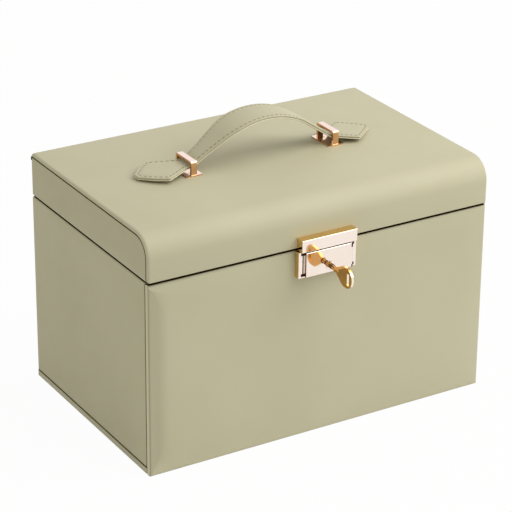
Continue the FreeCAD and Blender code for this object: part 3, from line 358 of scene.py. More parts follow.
def slab(corners, back, front, back_round, front_round, swell=0.0, run=10.0, flat=1.0, steps=5, bends=6,
         ease=0.0):
    """Make a board with rounded rims, as points (u, v, w). Its face may swell over a run from the rim, with
    corners that ease to a radius.
    """
    levels = [(back_round + flat, back)]
    for step in range(steps + 1):
        angle = math.pi / 2 * step / steps
        levels.append((back_round * (1 - math.sin(angle)), back + back_round * (1 - math.cos(angle))))
    rim = front - swell
    for step in range(steps + 1):
        angle = math.pi / 2 * step / steps
        levels.append((front_round * (1 - math.cos(angle)), rim - front_round * (1 - math.sin(angle))))
    if swell:
        for share in SWELL_STEPS:
            levels.append((front_round + run * share, rim + swell * (1 - (1 - share) ** 2)))
        levels.append((front_round + run + 2, front))
    else:
        levels.append((front_round + flat, front))
    rings = []
    for inset, level in levels:
        eased = ease * min(1, max(0, inset - front_round) / run) if level > rim else 0
        shape = [(u, v, max(radius, inset + eased) if eased else radius) for u, v, radius in corners]
        rings.append([(point.x, point.y, level) for point in outline(shape, inset, bends)])
    points, faces = stack(rings)
    size = len(rings[0])
    faces.append(tuple(range(size)))
    faces.append(tuple(len(points) - size + number for number in range(size)))
    return points, faces


def turn(points, pattern):
    """Rename axes: a pattern such as 'wuv' says which of u, v, w goes to x, y and z; capitals flip."""
    def pick(point, letter):
        value = point["uvw".index(letter.lower())]
        return -value if letter.isupper() else value
    return [tuple(pick(point, letter) for letter in pattern) for point in points]


def mirror_x(points):
    """Mirror points left to right."""
    return [(-x, y, z) for x, y, z in points]


def rectangle(u_low, v_low, u_high, v_high, radius):
    """Corners of an upright rectangle."""
    return [(u_low, v_low, radius), (u_high, v_low, radius), (u_high, v_high, radius), (u_low, v_high, radius)]


def merge(parts):
    """Join several (points, faces) into one."""
    points, faces = [], []
    for more_points, more_faces in parts:
        start = len(points)
        points += more_points
        faces += [tuple(start + number for number in face) for face in more_faces]
    return points, faces


def both_ends(points, faces):
    """Lay a shape with its outline in y and z at the right end of the case, and mirror it to the left."""
    right = turn(points, "wuv")
    return merge([(right, faces), (mirror_x(right), faces)])


def carve(piece, tool):
    """Take a closed shape, points in millimetres, out of a piece."""
    points, faces = tool
    mesh = bpy.data.meshes.new("tool")
    mesh.from_pydata([Vector(point) * MM for point in points], [], faces)
    cutter = bpy.data.objects.new("tool", mesh)
    bpy.context.scene.collection.objects.link(cutter)
    work = piece.modifiers.new("carve", "BOOLEAN")
    work.object, work.solver = cutter, "EXACT"
    bpy.context.view_layer.update()
    carved = bpy.data.meshes.new_from_object(piece.evaluated_get(bpy.context.evaluated_depsgraph_get()))
    piece.modifiers.clear()
    piece.data = carved
    bpy.data.objects.remove(cutter)
    carved.set_sharp_from_angle(angle=math.radians(SHARP))


def band(corners, outer, inner, low, high, bends=6):
    """Make a thin strip along an outline, open from the last corner back to the first."""
    rows = [[(point.x, point.y, level) for point in outline(corners, inset, bends)]
            for inset, level in ((outer, low), (inner, low), (inner, high), (outer, high), (outer, low))]
    points, faces = stack(rows, closed=False)
    size = len(rows[0])
    for end in (0, size - 1):
        faces.append(tuple(end + size * row for row in range(4)))
    return points, faces


# Lid

CASE_X, FRONT_Y, BACK_Y = 150.0, -95.0, 95.0
BODY_TOP, LID_LOW, LID_TOP = 157.4, 158.6, 194.5
LID_WALL = 4.0
LID_SKIN = 2.4
LID_RIM = 2.2
ROUND = 18.0
PAST = 2.0  # how far a cutting shape reaches past what it cuts

LID_EDGE = LID_LOW + 0.3
lid_section = [
    (FRONT_Y, LID_EDGE, 0.9), (BACK_Y, LID_EDGE, 0.9), (BACK_Y, LID_TOP, 4.0), (FRONT_Y, LID_TOP, ROUND)]
points, faces = slab(lid_section, -CASE_X, CASE_X, LID_RIM, LID_RIM, flat=0.2, bends=14)
lid_leather = build("lid_leather", "lid", looks["leather"], turn(points, "wuv"), faces, "leather",
                    ("lid_wrap",))
inner_section = [
    (FRONT_Y + LID_SKIN, LID_LOW - 4, 0.1), (BACK_Y - LID_SKIN, LID_LOW - 4, 0.1),
    (BACK_Y - LID_SKIN, LID_TOP - LID_SKIN, 2.2), (FRONT_Y + LID_SKIN, LID_TOP - LID_SKIN, ROUND - LID_SKIN)]
points, faces = slab(inner_section, -CASE_X - PAST, CASE_X + PAST, 0.05, 0.05, flat=0.1, bends=14)
carve(lid_leather, (turn(points, "wuv"), faces))
# Room for the end panels in the back of the lid
ROOM_INSIDE = 145.0
room = rectangle(BACK_Y - LID_WALL - 0.6, LID_LOW - PAST, BACK_Y + PAST, LID_TOP - LID_SKIN - 0.01, 0.1)
points, faces = slab(room, ROOM_INSIDE, CASE_X + PAST, 0.1, 0.1)
carve(lid_leather, both_ends(points, faces))

END_GAP, END_INSIDE, END_FACE = 0.9, 145.1, 149.9
end_outline = [
    (FRONT_Y + LID_SKIN + END_GAP, LID_LOW + 0.1, 0.8), (BACK_Y, LID_LOW + 0.1, 1.2),
    (BACK_Y, LID_TOP - LID_SKIN - END_GAP, 2.6),
    (FRONT_Y + LID_SKIN + END_GAP, LID_TOP - LID_SKIN - END_GAP, ROUND - LID_SKIN - END_GAP)]
points, faces = slab(end_outline, END_INSIDE, END_FACE, 0.3, 1.3, swell=0.3, run=9, bends=10)
lid_end_right = build("lid_end_right", "lid", looks["lid_end"], turn(points, "wuv"), faces, "leather",
                      ("lid_right_panel",))
lid_end_left = build("lid_end_left", "lid", looks["lid_end"], mirror_x(turn(points, "wuv")), faces, "leather",
                     ("lid_left_panel",))

SEAM_INSIDE, SEAM_FACE = 147.6, 149.4
seam_path = [
    (BACK_Y - 0.4, LID_TOP - LID_SKIN - 4, 0.1), (BACK_Y - 0.4, LID_TOP - LID_SKIN, 2.4),
    (FRONT_Y + LID_SKIN, LID_TOP - LID_SKIN, ROUND - LID_SKIN), (FRONT_Y + LID_SKIN, LID_LOW + 0.4, 0.1)]
points, faces = band(seam_path, -0.05, 1.3, SEAM_INSIDE, END_FACE, 10)
build("lid_seams", "lid", seam_look.material, *both_ends(points, faces), slot="leather")

LINING_X = 144.6
lining_path = [
    (BACK_Y - LID_WALL, LID_LOW + 1.5, 0.1), (BACK_Y - LID_WALL, LID_TOP - LID_WALL, 0.8),
    (FRONT_Y + LID_WALL, LID_TOP - LID_WALL, ROUND - LID_WALL), (FRONT_Y + LID_WALL, LID_LOW + 1.5, 0.1)]
points, faces = band(lining_path, LID_SKIN - LID_WALL + 0.02, 0.35, -LINING_X, LINING_X, 10)
build("lid_lining", "lid", looks["velvet"], turn(points, "wuv"), faces, "velvet")

CEILING = LID_TOP - LID_WALL
CUSHION_X, CUSHION_FRONT, CUSHION_BACK, CUSHION_THICK = 144.2, -76.8, 90.4, 3.0
points, faces = slab(rectangle(-CUSHION_X, CUSHION_FRONT, CUSHION_X, CUSHION_BACK, 3.0), 0.1, CUSHION_THICK,
                     0.2, 1.5, swell=0.5, run=14)
lid_cushion = build("lid_cushion", "lid", looks["velvet_pad"],
                    [(u, v, CEILING - w) for u, v, w in points], faces, "velvet_pad", ("lid_pad",))


# Body

FRONT_LOW, FRONT_TOP = 0.6, BODY_TOP - 0.25
FRONT_INSIDE, FRONT_FACE = 90.35, 94.85
FOOT_LOW, FOOT_SHARE, FOOT_TOP = 0.05, 0.35, 2.6  # levels below FOOT_TOP close up to FOOT_SHARE
TURN_DEPTH, TURN_SHARE = 1.4, 2.3  # down to these depths below the top edge levels spread by these shares
EASE_DEPTH, EASE_SHARE = 7.9, 0.72
FLAT_SHARE, FLAT_TOP, PADDING_BACK = 0.8, 12, 92


def padded_edge(level):
    """Thin the padding towards the floor, and round it further down from the top edge."""
    if level < FOOT_TOP:
        return FOOT_LOW + (level - FRONT_LOW) * FOOT_SHARE
    depth = FRONT_TOP - level
    if depth < TURN_DEPTH:
        return FRONT_TOP - depth * TURN_SHARE
    if depth < EASE_DEPTH:
        return FRONT_TOP - TURN_DEPTH * TURN_SHARE - (depth - TURN_DEPTH) * EASE_SHARE
    return level


def flat_foot(level, face):
    """Bring the padding forward again near the floor."""
    if face <= PADDING_BACK:
        return face
    return face + (FRONT_FACE - face) * FLAT_SHARE * max(0.0, 1 - level / FLAT_TOP)


points, faces = slab(rectangle(-CASE_X, FRONT_LOW, CASE_X, FRONT_TOP, 0.5), FRONT_INSIDE, FRONT_FACE, 0.5, 1.3,
                     swell=0.9, run=15, ease=16)
points = [(u, padded_edge(v), flat_foot(v, w)) for u, v, w in points]
front_leather = build("front_leather", "front_door", looks["front"], [(u, -w, v) for u, v, w in points], faces,
                      "leather", ("door_cover", "door_board"))

SIDE_FRONT, SIDE_LOW, SIDE_GAP = -89.8, 4.5, 0.8
SIDE_INSIDE, SIDE_FACE = 148.2, 150.1
points, faces = slab(rectangle(-CASE_X, SIDE_FRONT, CASE_X, BACK_Y, 1.1), 0.05, SIDE_LOW, 0.3, 0.3)
build("base_leather", "case", looks["leather"], points, faces, "leather", ("base_board",))
side_outline = [
    (SIDE_FRONT + SIDE_GAP, SIDE_LOW + SIDE_GAP, 1.0), (BACK_Y, SIDE_LOW + SIDE_GAP, 1.0),
    (BACK_Y, BODY_TOP, 1.0), (SIDE_FRONT + SIDE_GAP, BODY_TOP, 1.0)]
points, faces = slab(side_outline, SIDE_INSIDE, SIDE_FACE, 0.1, 1.4, swell=0.3, run=9)
side_right = build("side_leather_right", "case", looks["side"], turn(points, "wuv"), faces, "leather",
                   ("right_cover",))
side_left = build("side_leather_left", "case", looks["side"], mirror_x(turn(points, "wuv")), faces, "leather",
                  ("left_cover",))
seam_path = [
    (SIDE_FRONT + 0.1, BODY_TOP - 0.3, 0.1), (SIDE_FRONT + 0.1, SIDE_LOW + 0.1, 0.8),
    (BACK_Y - 0.5, SIDE_LOW + 0.1, 0.3), (BACK_Y - 0.5, SIDE_LOW + 2, 0.1)]
points, faces = band(seam_path, -0.2, SIDE_GAP + 0.2, SEAM_INSIDE, SEAM_FACE)
build("side_seams", "case", seam_look.material, *both_ends(points, faces), slot="leather")


# Painted shade on the rims that meet at the lid gap: dark strips that stand for the shade in the gap

def strips(name, body, look, slot, level_low, level_high, spans, pattern="uvw"):
    """Lay thin plates with eased edges; each span is the low and high corner in the plate's plane."""
    parts = []
    for u_low, v_low, u_high, v_high in spans:
        points, faces = slab(rectangle(u_low, v_low, u_high, v_high, 0.1), level_low, level_high, 0.04, 0.04,
                             flat=0.1, steps=2, bends=2)
        parts.append((turn(points, pattern), faces))
    return build(name, body, look, *merge(parts), slot=slot)


RIM_SIDE = 148.9
# Dark strips on the rims stand for the shade in the gap: painted shade
strips("front_rim_painted_shade", "front_door", gap_shade_look.material, "leather", BODY_TOP - 0.1, BODY_TOP + 0.07,
       [(-RIM_SIDE, -94.3, RIM_SIDE, -91.6)])
strips("case_rim_painted_shade", "case", gap_shade_look.material, "leather", BODY_TOP - 0.1, BODY_TOP + 0.07,
       [(-RIM_SIDE, -88.4, -146.4, 93.9), (146.4, -88.4, RIM_SIDE, 93.9), (-146.2, 92.1, 146.2, 94.1)])
strips("lid_rim_painted_shade", "lid", gap_shade_look.material, "leather", LID_LOW - 0.07, LID_EDGE,
       [(-RIM_SIDE, -94.4, RIM_SIDE, -92.5), (-RIM_SIDE, -91.0, -146.6, 94.0), (146.6, -91.0, RIM_SIDE, 94.0),
        (-LINING_X, 92.4, LINING_X, 94.0)])


# Lock and key: painted shade on the floors of the recesses beside the lock's plate, steps there, painted shade
# at notches in the plate and a painted shadow round its base, and painted shade lines and rings on the key's
# shank

LOCK_FACE, PLATE_FACE, PLATE_HALF = 100.0, 103.0, 20.5
LOCK_LOW, LOCK_TOP = 136.0, 157.3
FLANGE = 2.9


def on_sides(spans):
    """Repeat spans, given outwards from the edge of the lock's plate, on its left and right."""
    right = [(PLATE_HALF + start, low, PLATE_HALF + end, high) for start, low, end, high in spans]
    return [(-end, low, -start, high) for start, low, end, high in right] + right


strips("lock_recess_floor", "front_door", shade_look.material, "gold", LOCK_FACE - 2.5, LOCK_FACE - 0.9,
       on_sides([(0.02, LOCK_TOP - 2.97, FLANGE + 0.06, LOCK_TOP - 0.1),
                 (0.02, LOCK_LOW + 1.23, FLANGE + 0.06, LOCK_LOW + 3.57)]), "uWv")
strips("lock_recess_step", "front_door", looks["gold"], "gold", LOCK_FACE - 2.6, LOCK_FACE - 0.1,
       on_sides([(0.1, LOCK_LOW + 3.7, FLANGE, LOCK_TOP - 3.1)]), "uWv")
# Dark strips at the plate's corners stand for notches: painted shade
strips("lock_plate_notch_shade", "front_door", shade_look.material, "gold", PLATE_FACE - 0.5, PLATE_FACE + 0.04,
       [(PLATE_HALF - 1.3, LOCK_TOP - 3.8, PLATE_HALF + 0.03, LOCK_TOP - 0.4),
        (PLATE_HALF - 1.0, LOCK_LOW + 1.2, PLATE_HALF + 0.03, LOCK_LOW + 3.4)], "uWv")
# Dark strips round the plate's base: painted shadow
strips("lock_plate_edge_shadow", "front_door", shade_look.material, "gold", LOCK_FACE + 1.3, LOCK_FACE + 2.6,
       on_sides([(-0.6, LOCK_LOW + 1.25, 0.12, LOCK_TOP - 0.32)]), "uWv")

PLUG_Z = LOCK_TOP - 14
SHANK_START, SHANK_END = -104.3, -111.6
# Dark lines along the key's shank and rings beside its collar: painted shade
SHANK_SHADE_FLOOR, SHANK_SHADE_TOP, SHANK_SHADE_HALF, SHANK_SHADE_ANGLES = 1.4, 1.8, 0.3, (80, 140, 200)
COLLAR_FLOOR, COLLAR_TOP, COLLAR_SIDES = 1.5, 2.0, 24
COLLAR_SPANS = ((-105.6, -105.0), (-107.4, -106.8))
shank_shades = []
for angle in SHANK_SHADE_ANGLES:
    turned = math.radians(angle)
    out, along = Vector((math.cos(turned), math.sin(turned))), Vector((-math.sin(turned), math.cos(turned)))
    corners = [out * reach + along * half
               for reach, half in ((SHANK_SHADE_FLOOR, -SHANK_SHADE_HALF), (SHANK_SHADE_TOP, -SHANK_SHADE_HALF),
                                   (SHANK_SHADE_TOP, SHANK_SHADE_HALF), (SHANK_SHADE_FLOOR, SHANK_SHADE_HALF))]
    points, faces = stack([[(corner.x, y, PLUG_Z + corner.y) for corner in corners]
                           for y in (SHANK_END, SHANK_START)])
    shank_shades.append((points, faces + [(0, 1, 2, 3), (4, 5, 6, 7)]))
for low, high in COLLAR_SPANS:
    turns = [math.tau * step / COLLAR_SIDES for step in range(COLLAR_SIDES)]
    points, faces = stack([
        [(reach * math.cos(turned), y, PLUG_Z + reach * math.sin(turned)) for turned in turns]
        for reach, y in ((COLLAR_FLOOR, low), (COLLAR_TOP, low), (COLLAR_TOP, high), (COLLAR_FLOOR, high))])
    ends = [tuple(range(COLLAR_SIDES)), tuple(range(3 * COLLAR_SIDES, 4 * COLLAR_SIDES))]
    shank_shades.append((points, faces + ends))
build("key_shank_painted_shade", "turning_key", shade_look.material, *merge(shank_shades), slot="gold")


# Strap

CROWN, CROWN_RISE = 65.4, 37.1
CROWN_Z = LID_TOP + CROWN_RISE - CROWN
SLOPE, TOE, ANKLE = math.radians(34.4), math.radians(5.7), 12.0
TIP_X = 105.5
UPPER, LOWER = 1.5, 1.2
TIP_Z = LID_TOP + UPPER + LOWER + 0.3 + LOWER * math.sin(TOE)
LEFT_RISE = 0.6
HANDLE_SET = 1.8
DRIFT = {1: 0.17, -1: 0.08}
LOOP_PLACE, LOOP_GRIP, LOOP_EASE = 63.7, 3, 5


def strap_line(tip_z):
    """Lay out the strap's outer face from the crown to a tip as runs with their lengths."""
    crown_end = Vector((CROWN * math.sin(SLOPE), CROWN_Z + CROWN * math.cos(SLOPE)))
    flank, toe = Vector((math.cos(SLOPE), -math.sin(SLOPE))), Vector((math.cos(TOE), -math.sin(TOE)))
    flank_start = crown_end + Vector((math.sin(SLOPE), math.cos(SLOPE))) * ANKLE
    toe_start = Vector((TIP_X, tip_z)) + Vector((math.sin(TOE), math.cos(TOE))) * ANKLE
    gap = toe_start - flank_start
    bend = flank.x * toe.y - flank.y * toe.x
    centre = flank_start + flank * ((gap.x * toe.y - gap.y * toe.x) / bend)
    ankle_start = centre - Vector((math.sin(SLOPE), math.cos(SLOPE))) * ANKLE
    ankle_end = centre - Vector((math.sin(TOE), math.cos(TOE))) * ANKLE
    runs = [("arc", CROWN * SLOPE, Vector((0, CROWN_Z)), CROWN, 0.0, SLOPE)]
    runs.append(("line", (ankle_start - crown_end).length, crown_end, SLOPE))
    runs.append(("arc", ANKLE * (SLOPE - TOE), centre, -ANKLE, SLOPE, TOE))
    runs.append(("line", (Vector((TIP_X, tip_z)) - ankle_end).length, ankle_end, TOE))
    return runs


STRAP_RUNS = {1: strap_line(TIP_Z), -1: strap_line(TIP_Z + LEFT_RISE)}


def strap_spot(length):
    """Give the place and the outward direction on the strap's outer face, by length from the crown."""
    side, left = (1 if length >= 0 else -1), abs(length)
    for run in STRAP_RUNS[side]:
        if left <= run[1] or run is STRAP_RUNS[side][-1]:
            break
        left -= run[1]
    if run[0] == "arc":
        _, whole, centre, radius, start, end = run
        angle = start + (end - start) * left / whole
        spot = centre + Vector((math.sin(angle), math.cos(angle))) * radius
    else:
        angle = run[3]
        spot = run[2] + Vector((math.cos(angle), -math.sin(angle))) * left
    return Vector((spot.x * side, 0, spot.y)), Vector((math.sin(angle) * side, 0, math.cos(angle)))


def length_at(x):
    """Give the length along the right half of the strap for a distance from the middle."""
    low, high = 0.0, sum(run[1] for run in STRAP_RUNS[1])
    for _ in range(40):
        middle = (low + high) / 2
        low, high = (middle, high) if strap_spot(middle)[0].x < x else (low, middle)
    return low


SWELL, WAIST = length_at(24.0), length_at(54.0)
NECK, TIP = length_at(67.5), length_at(TIP_X)
SHOULDER = {1: length_at(83.5), -1: length_at(87.5)}
MIDDLE, HALF, WIDE, NOSE = 15.2, 9.0, 19.7, 3.0
TAB_BEND, TAB_DROP = 9.0, 6.6
TOP_PUFF, PUFF_RUN, PUFF_END = 0.32, 1.6, 3
COLUMNS = (0.04, 0.12, 0.25, 0.5, 0.75, 0.88, 0.96)  # shares of the way across the strap


def strap_outline(inset):
    """Give the strap's outline, as (length, half width), anticlockwise from the left tip's front corner."""
    def end(side):
        return [(TIP, NOSE, 1.2), (SHOULDER[side] + TAB_BEND, WIDE - TAB_DROP, 30), (SHOULDER[side], WIDE, 1.6),
                (NECK, HALF, 5.0), (WAIST, HALF, 60), (SWELL, MIDDLE, 60)]
    left, right = end(-1), end(1)
    corners = ([(-x, -y, radius) for x, y, radius in left]
               + [(x, -y, radius) for x, y, radius in reversed(right)]
               + right + [(-x, y, radius) for x, y, radius in reversed(left)])
    return outline(corners, inset, 7)


def strap_ring(inset, spacing=2.6):
    """Give the strap's outline at an inset, with its long runs divided."""
    points = strap_outline(inset)
    base = strap_outline(0)
    size = len(points)
    ring = []
    for number in range(size):
        after = (number + 1) % size
        parts = max(1, round((base[after] - base[number]).length / spacing))
        ring += [points[number].lerp(points[after], part / parts) for part in range(parts)]
    return ring


def on_strap(point, height):
    """Place a flat point of the strap at a height over its outer face."""
    spot, out = strap_spot(point.x)
    spot = spot + out * height
    side = 1 if point.x >= 0 else -1
    return (spot.x, point.y + HANDLE_SET + DRIFT[side] * max(0, abs(point.x) - NECK), spot.z)


def strap_layer(levels):
    """Make a layer of the strap from (inset, height) levels, filled across at its first and last ring."""
    rings = [strap_ring(inset) for inset, height in levels]
    size = len(rings[0])
    points, faces = stack([[on_strap(point, height) for point in ring]
                           for ring, (inset, height) in zip(rings, levels)])
    for ring, (inset, height), start, top_puff in (
            (rings[0], levels[0], 0, 0.0), (rings[-1], levels[-1], size * (len(levels) - 1), TOP_PUFF)):
        rows = []
        for number in range(size // 2):
            near = ring[number]
            far = ring[(size - number - shift) % size]
            row = [start + number]
            room = min(abs(near.y), TIP - inset - abs((near.x + far.x) / 2) + 0.5)
            for share in COLUMNS:
                spot = near.lerp(far, share)
                reach = min(share, 1 - share) * 2 * abs(near.y)
                puff = top_puff * (1 - math.exp(-reach / PUFF_RUN)) * min(1, max(room, 0) / PUFF_END)
                past_loop = abs(abs(on_strap(spot, height)[0]) - LOOP_PLACE) - LOOP_GRIP
                puff *= min(1, max(past_loop, 0) / LOOP_EASE)
                row.append(len(points))
                points.append(on_strap(spot, height + puff))
            row.append(start + (size - number - shift) % size)
            rows.append(row)
        for first, second in zip(rows, rows[1:]):
            for column in range(len(first) - 1):
                quad = (first[column], first[column + 1], second[column + 1], second[column])
                if len(set(quad)) == 4:
                    faces.append(quad)
        faces.append(tuple(rows[0]))
        faces.append(tuple(rows[-1]))
    return points, faces


# The outline starts at the left tip's lower corner, so point n and point size - n - shift face each other
ring_zero = strap_ring(0)
shift = next(shift for shift in range(len(ring_zero))
             if all(abs(ring_zero[n].x - ring_zero[(len(ring_zero) - n - shift) % len(ring_zero)].x) < 1e-3
                    for n in range(0, len(ring_zero), 7)))

upper_levels = [
    (0.7, -1.36), (0.25, -1.32), (0.05, -1.12), (0.0, -0.7), (0.1, -0.35), (0.35, -0.12), (0.8, 0.0),
    (1.5, 0.0), (2.0, -0.08), (2.35, -0.24), (2.6, -0.28), (2.85, -0.2), (3.2, -0.06)]
# A dark band under the upper leather's overhang: painted shade
underside_shade_levels = [(0.8, -1.66), (0.5, -1.62), (0.5, -1.34), (0.8, -1.3)]
cream_levels = [(0.7, -2.4), (0.2, -2.34), (0.02, -2.0), (0.15, -1.64), (0.7, -1.58)]
lower_levels = [(1.4, -2.72), (1.0, -2.69), (0.7, -2.6), (0.65, -2.42), (0.9, -2.36)]
for name, look, levels, stands_for, sharp in (
        ("strap_upper_leather", looks["strap"], upper_levels, ("handle_strap",), 50),
        ("strap_glue_line", seam_look.material, underside_shade_levels, (), SHARP),
        ("strap_cut_edge", edge_look.material, cream_levels, (), SHARP),
        ("strap_lower_leather", looks["strap"], lower_levels, ("handle_backing",), 50)):
    build(name, "handle", look, *strap_layer(levels), "strap", stands_for, sharp)


STITCH_SHAPE = ((-0.5, 0.35), (-0.36, 0.85), (0, 1), (0.36, 0.85), (0.5, 0.35))
STITCH_SIDES = 6


def stitches(path, pitch, length, radius, spot_of):
    """Lay short round stitches along a closed flat path."""
    parts = []
    runs = [(a, b) for a, b in zip(path, path[1:] + path[:1])]
    whole = sum((b - a).length for a, b in runs)
    count = round(whole / pitch)

    def along(distance):
        distance %= whole
        for a, b in runs:
            step = (b - a).length
            if distance <= step:
                return a.lerp(b, distance / step if step else 0)
            distance -= step
        return path[0]

    for number in range(count):
        middle = number * whole / count
        rings = []
        for share, wide in STITCH_SHAPE:
            here = along(middle + share * length)
            ahead = along(middle + share * length + 0.05)
            side = Vector((-(ahead - here).y, (ahead - here).x)).normalized() * radius * wide
            dip = 0.5 * (1 - wide)
            rings.append([spot_of(here + side * math.cos(angle), radius * wide * math.sin(angle) - dip * radius)
                          for angle in (math.tau * step / STITCH_SIDES for step in range(STITCH_SIDES))])
        points, faces = stack(rings)
        faces += [tuple(range(STITCH_SIDES)), tuple(range(len(points) - STITCH_SIDES, len(points)))]
        parts.append((points, faces))
    return merge(parts)


def is_far(corner):
    """Say whether a corner lies on the far row between the loops, where the thread is painted paler: painted
    light.
    """
    return corner[1] > HANDLE_SET + 3 and abs(corner[0]) < LOOP_PLACE


STITCH_INSET, STITCH_PITCH, STITCH_LENGTH, STITCH_RADIUS, STITCH_SINK = 2.6, 4.0, 2.1, 0.27, 0.12
points, faces = stitches(strap_ring(STITCH_INSET, 1.3), STITCH_PITCH, STITCH_LENGTH, STITCH_RADIUS,
                         lambda point, height: on_strap(point, height - STITCH_SINK))
for name, look, wanted in (("strap_stitching", thread_look, False),
                           ("strap_far_stitching", far_thread_painted_light_look, True)):
    row = [face for face in faces if all(is_far(points[corner]) for corner in face) == wanted]
    kept = sorted({corner for face in row for corner in face})
    place = {corner: number for number, corner in enumerate(kept)}
    build(name, "handle", look.material, [points[corner] for corner in kept],
          [tuple(place[corner] for corner in face) for face in row], "strap")


# Ring rolls

def span(node):
    """Give the lowest and highest corner of a solid in millimetres."""
    low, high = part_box(node)
    return [value / MM for value in low], [value / MM for value in high]


ROLL_SIDES = 24
ROLL_END = ((0.0, 0.25), (0.0, 0.6), (0.25, 0.82), (0.8, 0.93), (1.8, 0.985), (3.5, 1.0), (8, 1.0))
ROLL_SPREAD, ROLL_GAP, ROLL_FLAT = 0.15, 0.12, 0.96


def roll_bank(name, body, node, count):
    """Make a bank of soft rolls that lie side by side, each with gathered ends, in place of a solid."""
    (x_low, y_low, floor), (x_high, y_high, _) = span(node)
    y_low, y_high = y_low - ROLL_SPREAD, y_high + ROLL_SPREAD
    parts = []
    pitch = (y_high - y_low) / count
    radius = pitch / 2 - ROLL_GAP
    for number in range(count):
        middle = y_low + (number + 0.5) * pitch
        rings = []
        inner = [(x_low + run, share) for run, share in ROLL_END]
        outer = [(x_high - run, share) for run, share in reversed(ROLL_END)]
        for x, share in inner + outer:
            ring = []
            for step in range(ROLL_SIDES):
                angle = math.tau * step / ROLL_SIDES
                across, upward = math.cos(angle), math.sin(angle)
                flat = ROLL_FLAT if upward < 0 else 1.0
                ring.append((x, middle + across * radius * share,
                             floor + radius + upward * radius * share * flat))
            rings.append(ring)
        points, faces = stack(rings)
        faces += [tuple(range(ROLL_SIDES)), tuple(range(len(points) - ROLL_SIDES, len(points)))]
        parts.append((points, faces))
    bank = build(name, body, looks["velvet_pad"], *merge(parts), slot="velvet_pad", stands_for=(node,),
                 sharp=60)


roll_bank("tray_roll_bank", "ring_tray", "tray_rolls", 6)
roll_bank("drawer_3_roll_bank", "drawer_3", "drawer_3_rolls", 9)


# Fold between the base and the drop front

FOLD_LINE = [(-92.6, 0.62), (-93.4, 0.5), (-94.0, 0.42), (-94.4, 0.5), (-94.62, 0.8), (-94.66, 1.3)]
FOLD_HALF, FOLD_X = 0.22, 147.5
sides = []
for thick in (-FOLD_HALF, FOLD_HALF):
    side = []
    for number, (y, z) in enumerate(FOLD_LINE):
        before, after = FOLD_LINE[max(number - 1, 0)], FOLD_LINE[min(number + 1, len(FOLD_LINE) - 1)]
        along = Vector((after[0] - before[0], after[1] - before[1])).normalized()
        side.append((y - along.y * thick, z + along.x * thick))
    sides.append(side)
profile = sides[0] + sides[1][::-1]
points, faces = stack([[(x, y, z) for y, z in profile] for x in (-FOLD_X, FOLD_X)])
size = len(profile)
faces += [tuple(range(size)), tuple(size + number for number in range(size))]
front_fold = build("front_fold", None, looks["leather"], points, faces, "leather")
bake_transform(front_fold)


# Solids that keep their shape: their looks, and how far their edges are eased, in millimetres

ROUNDED = {
    "back_board": 0.9, "base_board": 0.5, "front_rail": 0.5, "left_wall": 0.5, "right_wall": 0.5,
    "shelf_1": 0.6, "shelf_2": 0.6, "compartment_floor": 0.4, "floor_board": 0.6, "compartment_lip": 0.6,
    "compartment_dividers": 0.4, "tray_runners": 0.5, "door_lining": 0.5, "mirror_frame": 0.8,
    "mirror": 0.5, "drawer_1_box": 0.5, "drawer_2_box": 0.5, "drawer_3_box": 0.5,
    "drawer_1_front": 0.8, "drawer_2_front": 0.8, "drawer_3_front": 0.8,
    "drawer_1_dividers": 0.4, "drawer_2_dividers": 0.4, "tray_box": 0.5, "tray_divider": 0.4,
}
for name, node in nodes.items():
    look = looks[OWN_LOOK.get(name, SLOT_OF[name])]
    if node.material_slots:
        for slot in node.material_slots:
            slot.material = look
    else:
        node.data.materials.append(look)
    if name in ROUNDED:
        weld = node.modifiers.new("weld", "WELD")
        weld.merge_threshold = 1e-5
        bevel = node.modifiers.new("soft_edges", "BEVEL")
        bevel.width = ROUNDED[name] * MM
        bevel.segments = 3
        bevel.limit_method = "ANGLE"
        bevel.angle_limit = math.radians(40)
        bevel.harden_normals = False


# Stage, light and camera

WHITE_SHARE = 0.965  # the rest of the floor takes light, and so keeps the shadow
FLOOR_REACH = 40  # metres
LAMP_AIM, CAMERA_AIM = Vector((0, 0, 0.1)), Vector((0, 0, 0.095))


def seen_directly(tree):
    """Give 1 for camera, glossy and transmission rays, and 0 for the rest."""
    path = tree.nodes.new("ShaderNodeLightPath")
    source = path.outputs["Is Camera Ray"]
    for ray in ("Is Glossy Ray", "Is Transmission Ray"):
        either = tree.nodes.new("ShaderNodeMath")
        either.operation = "MAXIMUM"
        tree.links.new(source, either.inputs[0])
        tree.links.new(path.outputs[ray], either.inputs[1])
        source = either.outputs[0]
    return source


def stage_look(name, colour):
    """Make a white ground that keeps a soft share of the object's shadow."""
    look = Look(name, colour, 0.9, Specular_IOR_Level=0.1)
    look.colour(look.mixed(look.noise(2, 2), colour, display(230, 230, 228)))
    white = look.nodes.new("ShaderNodeEmission")
    white.inputs["Color"].default_value = (1, 1, 1, 1)
    mix = look.nodes.new("ShaderNodeMixShader")
    share = look.nodes.new("ShaderNodeMath")
    share.operation = "MULTIPLY"
    share.inputs[1].default_value = WHITE_SHARE
    look.links.new(seen_directly(look.material.node_tree), share.inputs[0])
    look.links.new(share.outputs[0], mix.inputs[0])
    look.links.new(look.shader.outputs[0], mix.inputs[1])
    look.links.new(white.outputs[0], mix.inputs[2])
    output = look.nodes["Material Output"]
    look.links.new(mix.outputs[0], output.inputs["Surface"])
    return look.material


def add_floor():
    """Lay a wide pale floor under the case."""
    mesh = bpy.data.meshes.new("floor")
    corners = rectangle(-FLOOR_REACH, -FLOOR_REACH, FLOOR_REACH, FLOOR_REACH, 0)
    mesh.from_pydata([(u, v, 0) for u, v, _ in corners], [], [(0, 1, 2, 3)])
    mesh.materials.append(stage_look("white_floor", display(226, 226, 224)))
    floor = bpy.data.objects.new("floor", mesh)
    bpy.context.scene.collection.objects.link(floor)


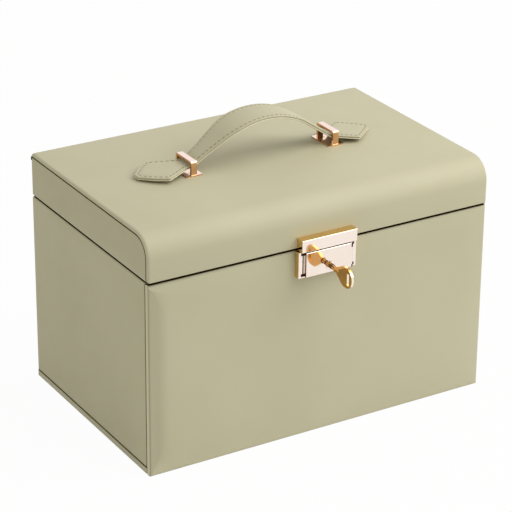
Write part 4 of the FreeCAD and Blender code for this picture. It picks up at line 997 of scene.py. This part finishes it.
def add_world(strength):
    """Light evenly from all round; camera, glossy and transmission rays see white."""
    world = bpy.data.worlds.new("studio")
    bpy.context.scene.world = world
    world.use_nodes = True
    tree = world.node_tree
    shade = tree.nodes["Background"]
    shade.inputs["Color"].default_value = (1.0, 0.985, 0.95, 1)
    level = tree.nodes.new("ShaderNodeMapRange")
    level.inputs[3].default_value = strength
    level.inputs[4].default_value = 1.0
    tree.links.new(seen_directly(tree), level.inputs[0])
    tree.links.new(level.outputs[0], shade.inputs["Strength"])


def add_lamp(name, toward, distance, power, size, colour=(1, 1, 1)):
    """Hang a square lamp in a direction from the case, aimed at it."""
    lamp = bpy.data.lights.new(name, "AREA")
    lamp.energy, lamp.size, lamp.color = power, size, colour
    holder = bpy.data.objects.new(name, lamp)
    away = Vector(toward).normalized()
    holder.location = LAMP_AIM + away * distance
    holder.rotation_mode = "QUATERNION"
    holder.rotation_quaternion = (-away).to_track_quat("-Z", "Y")
    bpy.context.scene.collection.objects.link(holder)


def add_camera():
    """Stand the camera where the photographer stood; focal length and offsets are in pixels."""
    azimuth, elevation, roll = (math.radians(angle) for angle in (-31.27, 24.62, 0.615))
    distance, focal = 1.7766, 2241.3
    across, upward = 1.96, 16.68
    picture, sensor = 512, 36
    away = Vector((math.sin(azimuth) * math.cos(elevation), -math.cos(azimuth) * math.cos(elevation),
                   math.sin(elevation)))
    right = (-away).cross(Vector((0, 0, 1))).normalized()
    up = right.cross(-away)
    right, up = right * math.cos(roll) + up * math.sin(roll), up * math.cos(roll) - right * math.sin(roll)
    camera = bpy.data.cameras.new("camera")
    camera.sensor_width = sensor
    camera.lens = focal / picture * sensor
    camera.clip_start, camera.clip_end = 0.05, 100
    holder = bpy.data.objects.new("camera", camera)
    holder.location = (CAMERA_AIM + away * distance - right * (across * distance / focal)
                       + up * (upward * distance / focal))
    holder.rotation_mode = "QUATERNION"
    axes = Matrix((right, up, away)).transposed()
    holder.rotation_quaternion = axes.to_quaternion()
    bpy.context.scene.collection.objects.link(holder)
    bpy.context.scene.camera = holder


add_floor()
add_world(0.57)
add_lamp("key", (0.57, -0.40, 0.72), 2.0, 35.5, 2.0)
add_lamp("left_fill", (-0.95, -0.05, 0.25), 2.2, 1.6, 1.2, (1.0, 0.92, 0.55))
add_camera()
bpy.context.scene.view_settings.view_transform = "Standard"
